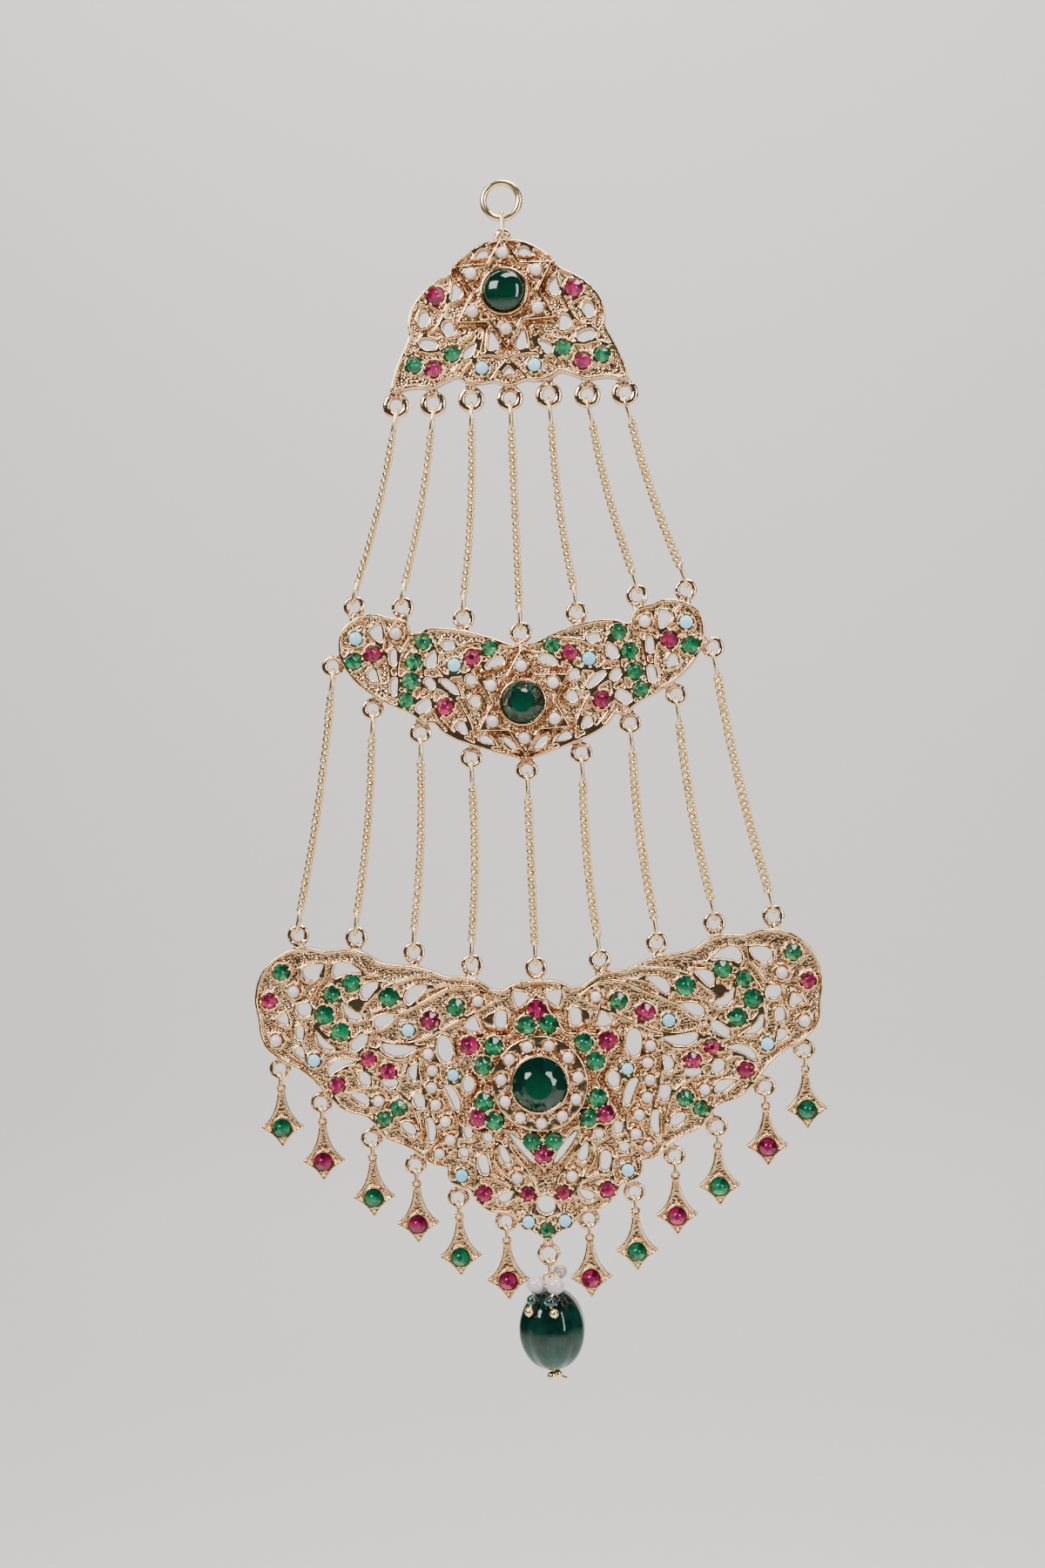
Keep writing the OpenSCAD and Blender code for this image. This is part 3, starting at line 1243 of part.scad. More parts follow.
// The egg-shaped bead: a fluted shell round a bore
module pendant_bead() {
    around = 48;
    levels = 13;
    end_share = 0.2;
    outer = [for (i = [0:levels - 1]) let (t = i / (levels - 1),
            z = bead_bottom + bead_l * (1 - cos(180 * t)) / 2,
            share = end_share + (1 - end_share) * sin(180 * t))
        for (k = [0:around - 1]) let (
            deep = flute_depth * sin(180 * t) * (1 - abs(cos(180 * flutes * k / around))),
            r = bead_d / 2 * share - deep,
            turn = 360 * k / around)
            [r * cos(turn), r * sin(turn), z]];
    inner = concat(ring_points(around, bead_bore / 2, bead_top),
        ring_points(around, bead_bore / 2, bead_bottom));
    points = concat(outer, inner);
    rows = levels + 2;
    faces = [for (i = [0:rows - 1], k = [0:around - 1]) let (
            j = (k + 1) % around,
            up = (i + 1) % rows)
        each [[i * around + k, up * around + k, up * around + j],
            [i * around + k, up * around + j, i * around + j]]];
    color(DARK_GREEN)
        polyhedron(points, faces);
}

hang_ring();
bail_link();
top_panel();
top_centre_stone();
top_pearls();
top_emeralds();
top_rubies();
top_turquoises();
mid_panel();
mid_centre_stone();
mid_pearls();
mid_emeralds();
mid_rubies();
mid_turquoises();
bottom_panel();
bottom_centre_stone();
bottom_pearls();
bottom_emeralds();
bottom_rubies();
bottom_turquoises();
upper_chain(0);  // upper_chain_1
upper_chain(1);  // upper_chain_2
upper_chain(2);  // upper_chain_3
upper_chain(3);  // upper_chain_4
upper_chain(4);  // upper_chain_5
upper_chain(5);  // upper_chain_6
upper_chain(6);  // upper_chain_7
lower_chain(0);  // lower_chain_1
lower_chain(1);  // lower_chain_2
lower_chain(2);  // lower_chain_3
lower_chain(3);  // lower_chain_4
lower_chain(4);  // lower_chain_5
lower_chain(5);  // lower_chain_6
lower_chain(6);  // lower_chain_7
lower_chain(7);  // lower_chain_8
lower_chain(8);  // lower_chain_9
star_drop(0);  // drop_1
star_drop(1);  // drop_2
star_drop(2);  // drop_3
star_drop(3);  // drop_4
star_drop(4);  // drop_5
star_drop(5);  // drop_6
star_drop(6);  // drop_7
star_drop(7);  // drop_8
star_drop(8);  // drop_9
star_drop(9);  // drop_10
star_drop(10);  // drop_11
star_drop(11);  // drop_12
drop_links();
drop_emeralds();
drop_rubies();
pendant_link();
pendant_wires();
pendant_pearls();
pendant_seed_beads();
pendant_gold_beads();
pendant_bead();
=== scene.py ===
# %% [markdown]
# # A jhoomar headpiece
# Three pierced gold panels hang from each other on fine chains, with star
# drops below and a bead at the tip. The solids come from the CAD model, in
# metres. This file gives each piece its finish, and the fine work that is too
# small for the solids: real links in the chains, grains round the stones and
# the facets of each stone.

# %% Load the solids
import math

import bmesh
import bpy
import numpy as np
from mathutils import Matrix, Vector


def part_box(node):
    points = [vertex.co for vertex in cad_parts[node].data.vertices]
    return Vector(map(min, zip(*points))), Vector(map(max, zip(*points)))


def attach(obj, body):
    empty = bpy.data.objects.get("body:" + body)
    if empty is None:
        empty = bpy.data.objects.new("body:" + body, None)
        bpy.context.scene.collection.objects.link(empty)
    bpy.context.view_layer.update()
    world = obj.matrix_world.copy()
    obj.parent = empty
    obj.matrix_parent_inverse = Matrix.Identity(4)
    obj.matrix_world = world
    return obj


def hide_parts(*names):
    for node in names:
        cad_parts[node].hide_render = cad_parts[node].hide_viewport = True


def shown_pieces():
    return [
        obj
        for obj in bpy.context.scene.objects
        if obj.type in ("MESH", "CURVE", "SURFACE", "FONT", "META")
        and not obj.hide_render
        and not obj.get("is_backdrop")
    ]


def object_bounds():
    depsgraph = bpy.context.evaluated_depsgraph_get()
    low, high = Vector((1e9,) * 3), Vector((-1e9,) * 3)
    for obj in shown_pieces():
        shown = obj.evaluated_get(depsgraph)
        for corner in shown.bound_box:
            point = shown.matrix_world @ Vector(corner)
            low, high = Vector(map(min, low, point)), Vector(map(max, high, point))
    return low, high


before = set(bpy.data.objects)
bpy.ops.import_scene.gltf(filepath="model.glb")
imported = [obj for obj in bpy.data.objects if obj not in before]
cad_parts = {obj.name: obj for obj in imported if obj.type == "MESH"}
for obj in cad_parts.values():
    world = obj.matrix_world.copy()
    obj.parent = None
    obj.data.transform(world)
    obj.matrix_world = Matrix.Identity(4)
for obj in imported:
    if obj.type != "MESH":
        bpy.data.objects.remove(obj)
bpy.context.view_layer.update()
MM = 0.001
print("nodes loaded:", len(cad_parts))

# %% [markdown]
# ## The camera
# The picture looks almost squarely at the panels from a third of a metre, and
# the piece leans a little in it, so the camera is turned about its own line of
# sight. The camera comes first because everything after is judged through it.

# %% Set the camera
VIEW_CENTRE = Vector((-0.7, 0, -82.4)) * MM
VIEW_DISTANCE = 312 * MM
VIEW_FROM_RIGHT = math.radians(4)
VIEW_ROLL = math.radians(-2.6)
LENS = 52

camera = bpy.data.objects.new("camera", bpy.data.cameras.new("camera"))
bpy.context.scene.collection.objects.link(camera)
bpy.context.scene.camera = camera
camera.data.lens = LENS
camera.data.clip_start = 0.01
camera.data.clip_end = 10
toward_camera = Vector((math.sin(VIEW_FROM_RIGHT), -math.cos(VIEW_FROM_RIGHT), 0))
aim = toward_camera.to_track_quat("Z", "Y").to_matrix().to_4x4()
camera.matrix_world = (
    Matrix.Translation(VIEW_CENTRE + toward_camera * VIEW_DISTANCE)
    @ aim
    @ Matrix.Rotation(VIEW_ROLL, 4, "Z")
)
print("camera at", [round(c / MM) for c in camera.location], "mm")

# %% [markdown]
# ## Small helpers
# Most operators work on whatever is selected, so one helper clears the
# selection and picks one object. Another adds a modifier and applies it at
# once, which keeps each step of the modelling visible in one line.


# %% Selection and modifiers
def pick(piece):
    bpy.ops.object.select_all(action="DESELECT")
    piece.select_set(True)
    bpy.context.view_layer.objects.active = piece
    return piece


def worked(piece, kind, **settings):
    """Adds one modifier and applies it."""
    step = piece.modifiers.new(kind.lower(), kind)
    for key, value in settings.items():
        setattr(step, key, value)
    pick(piece)
    bpy.ops.object.modifier_apply(modifier=step.name)
    return piece


def solid_copy(node, name):
    """A copy of a CAD node whose loose triangles are joined at their points."""
    piece = bpy.data.objects.new(name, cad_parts[node].data.copy())
    bpy.context.scene.collection.objects.link(piece)
    piece.data.materials.clear()
    pick(piece)
    bpy.ops.object.mode_set(mode="EDIT")
    bpy.ops.mesh.select_all(action="SELECT")
    bpy.ops.mesh.remove_doubles(threshold=0.002 * MM)
    bpy.ops.object.mode_set(mode="OBJECT")
    return piece


def discard(piece):
    mesh = piece.data
    bpy.data.objects.remove(piece)
    bpy.data.meshes.remove(mesh)


def triangles(piece):
    piece.data.calc_loop_triangles()
    return len(piece.data.loop_triangles)


# %% [markdown]
# Many small things repeat: stones, grains and chain links. Each is modelled
# once, and this helper writes one mesh that holds a copy of the model at each
# place. It also keeps a random number for each copy, another for each facet,
# and how far each point lies from the copy's axis and above the copy's foot,
# which the finishes use to vary their colour.


# %% One mesh of many copies
# Round copies have no facets, so all their faces share this number
NO_FACET = 0.4


def points_of(piece):
    co = np.empty(len(piece.data.vertices) * 3)
    piece.data.vertices.foreach_get("co", co)
    return co.reshape(-1, 3)


def note(mesh, name, domain, values):
    mesh.attributes.new(name, "FLOAT", domain).data.foreach_set("value", values)


def copies(model, places, name, smooth=True):
    base = points_of(model)
    faces = [list(f.vertices) for f in model.data.polygons]
    radius = np.hypot(base[:, 0], base[:, 1])
    edge = radius / max(radius.max(), 1e-9)
    points, heights, all_faces = [], [], []
    for i, place in enumerate(places):
        m = np.array(place)
        placed = base @ m[:3, :3].T + m[:3, 3]
        points.append(placed)
        middle, reach = placed[:, 2].mean(), np.ptp(placed[:, 2])
        heights.append((placed[:, 2] - middle) / reach + 0.5)
        all_faces += [[v + i * len(base) for v in f] for f in faces]
    mesh = bpy.data.meshes.new(name)
    mesh.from_pydata(np.concatenate(points).tolist(), [], all_faces)
    mesh.update()
    rng = np.random.default_rng(7)
    note(mesh, "chance", "POINT", np.repeat(rng.random(len(places)), len(base)))
    note(mesh, "edge", "POINT", np.tile(edge, len(places)))
    note(mesh, "high", "POINT", np.concatenate(heights))
    face_count = len(mesh.polygons)
    shades = np.full(face_count, NO_FACET) if smooth else rng.random(face_count)
    note(mesh, "facet", "FACE", shades)
    mesh.polygons.foreach_set("use_smooth", [smooth] * face_count)
    piece = bpy.data.objects.new(name, mesh)
    bpy.context.scene.collection.objects.link(piece)
    return piece


# A stone's own up direction is +Z, and on the panels it looks along -Y
FACING = Matrix.Rotation(math.radians(90), 4, "X")


def facing(place, scale):
    return Matrix.Translation(place) @ FACING @ Matrix.Scale(scale, 4)


# %% [markdown]
# ## The finishes
# Every finish is worked out by shader nodes from the place on the object, so
# it needs no image. A short helper adds a node and links its inputs.


# %% Node helper
class Finish:
    """A material whose nodes are added one by one."""

    def __init__(self, name):
        self.material = bpy.data.materials.new(name)
        self.material.use_nodes = True
        self.tree = self.material.node_tree
        self.shader = self.tree.nodes["Principled BSDF"]
        self.place = self.add("ShaderNodeTexCoord").outputs["Object"]

    def add(self, kind, inputs=None, **settings):
        node = self.tree.nodes.new(kind)
        for key, value in settings.items():
            setattr(node, key, value)
        for key, value in (inputs or {}).items():
            if isinstance(value, bpy.types.NodeSocket):
                self.tree.links.new(value, node.inputs[key])
            else:
                node.inputs[key].default_value = value
        return node

    def value(self, **inputs):
        for key, value in inputs.items():
            socket = self.shader.inputs[key.replace("_", " ")]
            if isinstance(value, bpy.types.NodeSocket):
                self.tree.links.new(value, socket)
            else:
                socket.default_value = value

    def noise(self, size, detail=3):
        """Soft clouds of about one size."""
        return self.add(
            "ShaderNodeTexNoise",
            {"Vector": self.place, "Scale": 1 / size, "Detail": detail, "Roughness": 0.6},
        ).outputs["Fac"]

    def attribute(self, name):
        return self.add("ShaderNodeAttribute", attribute_name=name).outputs["Fac"]

    def spread(self, value, low, high, first=0.0, last=1.0):
        """Stretches the part of a value between low and high over first to last."""
        return self.add(
            "ShaderNodeMapRange",
            {
                "Value": value,
                "From Min": low,
                "From Max": high,
                "To Min": first,
                "To Max": last,
            },
        ).outputs["Result"]

    def grain(self, size):
        """Little round pits and the ridges between them."""
        return self.add(
            "ShaderNodeTexVoronoi",
            {"Vector": self.place, "Scale": 1 / size, "Randomness": 1.0},
        ).outputs["Distance"]

    def mix(self, fac, a, b):
        node = self.add("ShaderNodeMix", data_type="RGBA", blend_type="MIX")
        # A colour mix keeps its factor at input 0 and its two colours at 6 and 7
        for key, value in ((0, fac), (6, a), (7, b)):
            if isinstance(value, bpy.types.NodeSocket):
                self.tree.links.new(value, node.inputs[key])
            else:
                node.inputs[key].default_value = value if key == 0 else (*value, 1)
        return node.outputs[2]

    def math(self, operation, a, b):
        node = self.add("ShaderNodeMath", {0: a, 1: b}, operation=operation)
        return node.outputs[0]

    def bump(self, height, depth):
        bump = self.add(
            "ShaderNodeBump", {"Height": height, "Distance": depth, "Strength": 1.0}
        )
        self.value(Normal=bump.outputs["Normal"])


# %% [markdown]
# The panels are cast and plated. Their raised edges are pale, and the ground
# between them is darker and redder in patches, which is painted shade in the
# hollows, and has fine pits. The `hollow` attribute, measured further down,
# tells the two apart.


# %% Gold finishes
PALE_GOLD = (1.0, 0.77, 0.42)
ROSE_GOLD = (0.97, 0.61, 0.32)
GREEN_GOLD = (0.90, 0.66, 0.31)
HOLLOW_SHADE_GOLD = (0.30, 0.11, 0.05)

PIT_SIZE = 0.38 * MM
SKIN_SIZE = 0.3 * MM
SKIN_SHARE = 0.14
CAST_RELIEF = 0.16 * MM
WIRE_RELIEF = 0.01 * MM


def wire_finish():
    finish = Finish("wire_gold")
    mottle = finish.spread(finish.noise(1.8 * MM), 0.35, 0.65)
    rough = finish.spread(finish.noise(0.8 * MM), 0.3, 0.7, 0.14, 0.26)
    metal = finish.mix(mottle, PALE_GOLD, GREEN_GOLD)
    finish.value(Base_Color=metal, Roughness=rough, Metallic=1.0)
    finish.bump(finish.noise(0.4 * MM), WIRE_RELIEF)
    return finish.material


def cast_finish():
    finish = Finish("cast_gold")
    hollow = finish.attribute("hollow")
    mottle = finish.spread(finish.noise(2.0 * MM, 4), 0.35, 0.65)
    metal = finish.mix(mottle, PALE_GOLD, ROSE_GOLD)
    shade_patches = finish.spread(finish.noise(0.9 * MM, 4), 0.3, 0.7, 0.45, 1.0)
    # Painted shade: hollows are mixed, in patches, towards a dark red-brown
    deep = finish.spread(hollow, 0.25, 1.0)
    metal = finish.mix(finish.math("MULTIPLY", deep, shade_patches), metal, HOLLOW_SHADE_GOLD)
    rough = finish.spread(hollow, 0.0, 1.0, 0.09, 0.18)
    finish.value(Base_Color=metal, Roughness=rough, Metallic=1.0)
    pits = finish.math("MULTIPLY", finish.grain(PIT_SIZE), hollow)
    skin = finish.math("MULTIPLY", finish.noise(SKIN_SIZE), SKIN_SHARE)
    finish.bump(finish.math("ADD", pits, skin), CAST_RELIEF)
    return finish.material


cast_gold = cast_finish()
wire_gold = wire_finish()
print("gold finishes ready")

# %% [markdown]
# The green and red stones are glass. Each facet sends back another part of
# the light that has gone through the stone, so some look nearly black and a
# few flash. The light comes from above and gathers at the lower edge. A
# random number on each face and the height of each point give both effects.


# %% Stone finishes
def stone_finish(name, deep, middle, bright, rough=0.05):
    """Glass of one colour, from its darkest facets to its brightest."""
    finish = Finish(name)
    facet = finish.math("POWER", finish.attribute("facet"), 1.6)
    body = finish.mix(facet, deep, middle)
    cloud = finish.spread(finish.noise(0.7 * MM), 0.35, 0.65, 0.0, 0.4)
    glow = finish.spread(finish.attribute("high"), 0.8, 0.1)
    glow = finish.math("MULTIPLY", glow, finish.math("ADD", facet, cloud))
    body = finish.mix(finish.math("MINIMUM", glow, 1.0), body, bright)
    darker = finish.spread(finish.attribute("chance"), 0.0, 1.0, 0.0, 0.4)
    body = finish.mix(darker, body, deep)
    finish.value(Base_Color=body, Roughness=rough, IOR=1.52)
    return finish.material


emerald = stone_finish(
    "emerald", (0.0005, 0.022, 0.010), (0.003, 0.10, 0.04), (0.03, 0.42, 0.16)
)
ruby = stone_finish(
    "ruby", (0.035, 0.0008, 0.010), (0.22, 0.004, 0.045), (0.66, 0.025, 0.17)
)
large_emerald = stone_finish(
    "large_emerald",
    (0.0003, 0.010, 0.006),
    (0.0006, 0.028, 0.014),
    (0.002, 0.075, 0.035),
    rough=0.03,
)

# %% [markdown]
# The pale blue stones are opaque paste with a soft shine, and painted shade
# darkens the rim of each. A pearl is milky: light goes in a little way and
# comes out again, tinted faintly pink, and its lower rim is painted with a
# reflection of the gold of its seat. The pendant's large bead is nearly black
# glass, painted lighter green in patches low down as light gathering in it,
# and its seed beads are glass with a metal sheen.


# %% Paste, pearl and glass beads
blue_paste = Finish("turquoise")
tone = blue_paste.math("ADD", blue_paste.attribute("chance"), blue_paste.noise(0.8 * MM))
tone = blue_paste.spread(tone, 0.3, 1.5)
body = blue_paste.mix(tone, (0.16, 0.48, 0.66), (0.36, 0.70, 0.85))
# Painted shade: each dome's outer rim is mixed towards a dark blue
rim = blue_paste.spread(blue_paste.attribute("edge"), 0.88, 1.0)
blue_paste.value(
    Base_Color=blue_paste.mix(rim, body, (0.05, 0.12, 0.15)),
    Roughness=0.25,
    Coat_Weight=0.3,
    Coat_Roughness=0.08,
)
blue_paste.bump(blue_paste.noise(0.5 * MM), 0.01 * MM)
turquoise = blue_paste.material

pearl_finish = Finish("pearl")
tone = pearl_finish.math("ADD", pearl_finish.attribute("chance"), pearl_finish.noise(1.2 * MM))
tone = pearl_finish.spread(tone, 0.4, 1.5)
lustre = pearl_finish.mix(tone, (0.55, 0.46, 0.47), (0.74, 0.68, 0.67))
# Painted reflection: each pearl's rim is mixed towards the orange-brown of its seat
painted_seat_reflection = pearl_finish.spread(pearl_finish.attribute("edge"), 0.72, 1.0)
pearl_finish.value(
    Base_Color=pearl_finish.mix(painted_seat_reflection, lustre, (0.50, 0.28, 0.18)),
    Roughness=0.2,
    Subsurface_Weight=0.08,
    Subsurface_Radius=(0.6 * MM, 0.45 * MM, 0.4 * MM),
    Subsurface_Scale=1.0,
    Coat_Weight=1.0,
    Coat_Roughness=0.05,
)
pearl = pearl_finish.material

bead_finish = Finish("bead_glass")
cloud = bead_finish.spread(bead_finish.noise(3.0 * MM, 2), 0.35, 0.65)
# Painted light: the lower bead is mixed, in patches, towards a lighter green
depth = bead_finish.spread(bead_finish.attribute("high"), 0.6, 0.0)
body = bead_finish.mix(cloud, (0.0006, 0.010, 0.008), (0.0015, 0.028, 0.018))
body = bead_finish.mix(bead_finish.math("MULTIPLY", depth, cloud), body, (0.005, 0.085, 0.045))
bead_finish.value(Base_Color=body, Roughness=0.05, IOR=1.5)
bead_finish.bump(bead_finish.noise(1.6 * MM, 2), 0.05 * MM)
bead_glass = bead_finish.material

seed_finish = Finish("seed_glass")
seed_tone = seed_finish.spread(seed_finish.noise(0.8 * MM), 0.35, 0.65)
seed_finish.value(
    Base_Color=seed_finish.mix(seed_tone, (0.004, 0.022, 0.024), (0.02, 0.10, 0.09)),
    Roughness=0.12,
    Metallic=0.55,
    Coat_Weight=1.0,
    Coat_Roughness=0.03,
)
seed_glass = seed_finish.material
print("stone, pearl and bead finishes ready")

# %% [markdown]
# ## The cast panels
# The solids have square edges. A casting has none: metal pulls back from every
# edge, and polishing rounds it more. Rebuilding the copy from fine cubes and
# smoothing it gives that look, a little uneven all over. The last step drops
# the triangles that flat places don't need.


# %% Cast a node
hammer = bpy.data.textures.new("hammer", "CLOUDS")
hammer.noise_scale = 1.1 * MM


def cast(node, name, cube, uneven, most):
    """A node rebuilt from cubes of one size, with at most so many triangles."""
    piece = solid_copy(node, name)
    worked(piece, "REMESH", mode="VOXEL", voxel_size=cube)
    worked(piece, "SMOOTH", factor=0.5, iterations=3)
    worked(piece, "DISPLACE", texture=hammer, strength=uneven, texture_coords="LOCAL")
    count = triangles(piece)
    if count > most:
        worked(piece, "DECIMATE", ratio=most / count)
    piece.data.polygons.foreach_set("use_smooth", [True] * len(piece.data.polygons))
    print(name, "triangles", count, "->", triangles(piece))
    return piece


# %% [markdown]
# How deep each point lies below the ridges round it is measured on a grid: the
# grid keeps the front-most surface in each square, and a round window moved
# over it finds the highest ridge nearby. Points far below it are hollows.


# %% Measure the hollows
CELL = 0.12 * MM
REACH = 8
# A square that holds no surface counts as this far back
FAR_BACK = 1.0


def mark_hollows(piece, full_depth):
    """Notes 0 on a ridge and 1 where the ground is a full depth below it."""
    co = points_of(piece)
    low = co.min(axis=0)
    col = ((co[:, 0] - low[0]) / CELL).astype(int) + REACH
    row = ((co[:, 2] - low[2]) / CELL).astype(int) + REACH
    front = np.full((col.max() + REACH + 1, row.max() + REACH + 1), FAR_BACK)
    np.minimum.at(front, (col, row), co[:, 1])
    near = front.copy()
    for dx in range(-REACH, REACH + 1):
        for dz in range(-REACH, REACH + 1):
            if dx * dx + dz * dz <= REACH * REACH:
                near = np.minimum(near, np.roll(front, (dx, dz), (0, 1)))
    depth = np.clip((co[:, 1] - near[col, row]) / full_depth, 0, 1)
    note(piece.data, "hollow", "POINT", depth)


# %% [markdown]
# The three panels are cast the same way. The larger a panel is, the more
# triangles it keeps.

# %% Make the three panels
PANELS = {"top": 90000, "mid": 130000, "bottom": 195000}
PANEL_CUBE = 0.11 * MM
PANEL_UNEVEN = 0.06 * MM
PANEL_DEPTH = 0.75 * MM
for level, most in PANELS.items():
    panel = cast(level + "_panel", level + "_panel_cast", PANEL_CUBE, PANEL_UNEVEN, most)
    mark_hollows(panel, PANEL_DEPTH)
    panel.data.materials.append(cast_gold)
    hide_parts(level + "_panel")
    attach(panel, "headpiece")

# %% [markdown]
# ## Where the stones are
# Each field of stones is one CAD node. Its loose solids are found by walking
# from point to joined point, and the box round each one says where that stone
# sits, how wide it is and how far it stands out.


# %% Find the stones
def loose_boxes(node):
    piece = solid_copy(node, "measure")
    bm = bmesh.new()
    bm.from_mesh(piece.data)
    seen, boxes = set(), []
    for start in bm.verts:
        if start in seen:
            continue
        seen.add(start)
        group, queue = [], [start]
        while queue:
            v = queue.pop()
            group.append(v.co.copy())
            for edge in v.link_edges:
                other = edge.other_vert(v)
                if other not in seen:
                    seen.add(other)
                    queue.append(other)
        co = np.array(group)
        boxes.append((Vector(co.min(axis=0)), Vector(co.max(axis=0))))
    bm.free()
    discard(piece)
    return boxes


stone_boxes = {
    node: loose_boxes(node)
    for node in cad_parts
    if node.split("_")[-1] in ("emeralds", "rubies", "pearls", "turquoises", "stone")
}
print({node: len(boxes) for node, boxes in stone_boxes.items()})


# %% [markdown]
# ## Cutting a stone
# A lapidary grinds flats on a round blank, one at a time. The bisect operator
# does the same: each cut keeps one side of a plane and closes the face. Eight
# main facets, eight small ones next to the table and sixteen at the girdle
# give the small stones their sparkle. A large stone has twelve in place of
# each eight. The numbers that shape a stone are shares of its width.


# %% Cut a stone
def grind(turn, low, high):
    """One flat through two points of the stone's side view, turned about its axis."""
    slope = math.atan2(low[0] - high[0], high[1] - low[1])
    x, y = math.cos(turn), math.sin(turn)
    out = Vector((x * math.cos(slope), y * math.cos(slope), math.sin(slope)))
    at = Vector((x * low[0], y * low[0], low[1]))
    bpy.ops.mesh.select_all(action="SELECT")
    bpy.ops.mesh.bisect(plane_co=at, plane_no=out, use_fill=True, clear_outer=True)


def cut_stone(name, girdle, crown, table, sides=8):
    """A stone 1 across, with its back at height 0."""
    bpy.ops.object.select_all(action="DESELECT")
    top = girdle + crown
    bpy.ops.mesh.primitive_cylinder_add(
        vertices=4 * sides, radius=0.5, depth=top, location=(0, 0, top / 2)
    )
    stone = bpy.context.object
    stone.name = name
    bpy.ops.object.transform_apply(location=True, rotation=True, scale=True)
    bpy.ops.object.mode_set(mode="EDIT")
    rim, star_foot = (0.492, girdle), (0.41, girdle + 0.55 * crown)
    for k in range(2 * sides):
        grind(math.pi * (k + 0.5) / sides, (0.5, girdle), (0.44, girdle + 0.35 * crown))
    for k in range(sides):
        grind(2 * math.pi * k / sides, rim, (0.5 * table, top))
        grind(2 * math.pi * (k + 0.5) / sides, star_foot, (0.455 * table, top))
    bpy.ops.object.mode_set(mode="OBJECT")
    return stone


def dome(name, girdle, crown, rings=8):
    """A round domed stone 1 across, with its back at height 0."""
    bpy.ops.object.select_all(action="DESELECT")
    bpy.ops.mesh.primitive_uv_sphere_add(segments=24, ring_count=2 * rings, radius=0.5)
    stone = bpy.context.object
    stone.name = name
    bpy.ops.object.mode_set(mode="EDIT")
    bpy.ops.mesh.select_all(action="SELECT")
    bpy.ops.mesh.bisect(
        plane_co=(0, 0, 0), plane_no=(0, 0, -1), use_fill=True, clear_outer=True
    )
    bpy.ops.mesh.select_all(action="SELECT")
    bpy.ops.transform.resize(value=(1, 1, crown / 0.5), center_override=(0, 0, 0))
    bpy.ops.mesh.select_all(action="DESELECT")
    bpy.ops.object.mode_set(mode="OBJECT")
    for face in stone.data.polygons:
        face.select = face.normal.z < -0.9
    bpy.ops.object.mode_set(mode="EDIT")
    bpy.ops.mesh.extrude_region_move(TRANSFORM_OT_translate={"value": (0, 0, -girdle)})
    bpy.ops.mesh.select_all(action="SELECT")
    bpy.ops.transform.translate(value=(0, 0, girdle))
    bpy.ops.object.mode_set(mode="OBJECT")
    return stone


def pearl_model(name):
    """A pearl 1 across that rests at height 0, slightly flat where it was drilled."""
    bpy.ops.object.select_all(action="DESELECT")
    bpy.ops.mesh.primitive_uv_sphere_add(
        segments=22, ring_count=12, radius=0.5, location=(0, 0, 0.5)
    )
    ball = bpy.context.object
    ball.name = name
    bpy.ops.object.transform_apply(location=True, rotation=True, scale=True)
    for vertex in ball.data.vertices:
        vertex.select = vertex.co.z > 0.99
    bpy.ops.object.mode_set(mode="EDIT")
    bpy.ops.transform.translate(value=(0, 0, -0.01))
    bpy.ops.object.mode_set(mode="OBJECT")
    return ball


# %% [markdown]
# ## Setting the stones
# The flat back of every stone goes where the solid's back is, and its width
# and height follow the solid's, so nothing moves. Each copy is turned by a
# different amount, because nobody lines up facets by hand.


# %% Set the stones
# Radians from one stone to the next, so that no two lie alike
STONE_TURN = 2.4


def set_stones(node, model, finish, smooth=False):
    places = []
    for i, (low, high) in enumerate(stone_boxes[node]):
        centre = (low + high) / 2
        width = high.x - low.x
        deep = high.y - low.y
        place = Vector((centre.x, high.y, centre.z))
        grown = Matrix.Diagonal((width, width, deep, 1))
        turned = Matrix.Rotation(STONE_TURN * i, 4, "Z")
        places.append(Matrix.Translation(place) @ FACING @ turned @ grown)
    piece = copies(model, places, node + "_cut", smooth)
    piece.data.materials.append(finish)
    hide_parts(node)
    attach(piece, "headpiece")


small_cut = cut_stone("small_cut", 0.44, 0.56, 0.36)
turquoise_dome = dome("turquoise_dome", 0.53, 0.47)
large_cut = cut_stone("large_cut", 0.46, 0.54, 0.56, 12)
large_dome = dome("large_dome", 0.46, 0.54, 16)
round_pearl = pearl_model("round_pearl")

for level in PANELS:
    set_stones(level + "_emeralds", small_cut, emerald)
    set_stones(level + "_rubies", small_cut, ruby)
    set_stones(level + "_turquoises", turquoise_dome, turquoise, smooth=True)
    set_stones(level + "_pearls", round_pearl, pearl, smooth=True)
set_stones("top_centre_stone", large_dome, large_emerald, smooth=True)
set_stones("mid_centre_stone", large_cut, large_emerald)
set_stones("bottom_centre_stone", large_cut, large_emerald)
set_stones("drop_emeralds", small_cut, emerald)
set_stones("drop_rubies", small_cut, ruby)

# %% [markdown]
# ## Grains
# Each small stone is held by beads of metal pushed over its edge, called
# grains. They catch the light as tiny dots. They are copies of one small
# ball, four or five round each stone, half sunk into its collet.


# %% Push the grains
bpy.ops.object.select_all(action="DESELECT")
bpy.ops.mesh.primitive_uv_sphere_add(segments=8, ring_count=5, radius=0.5)
grain_model = bpy.context.object
grain_model.name = "grain_model"


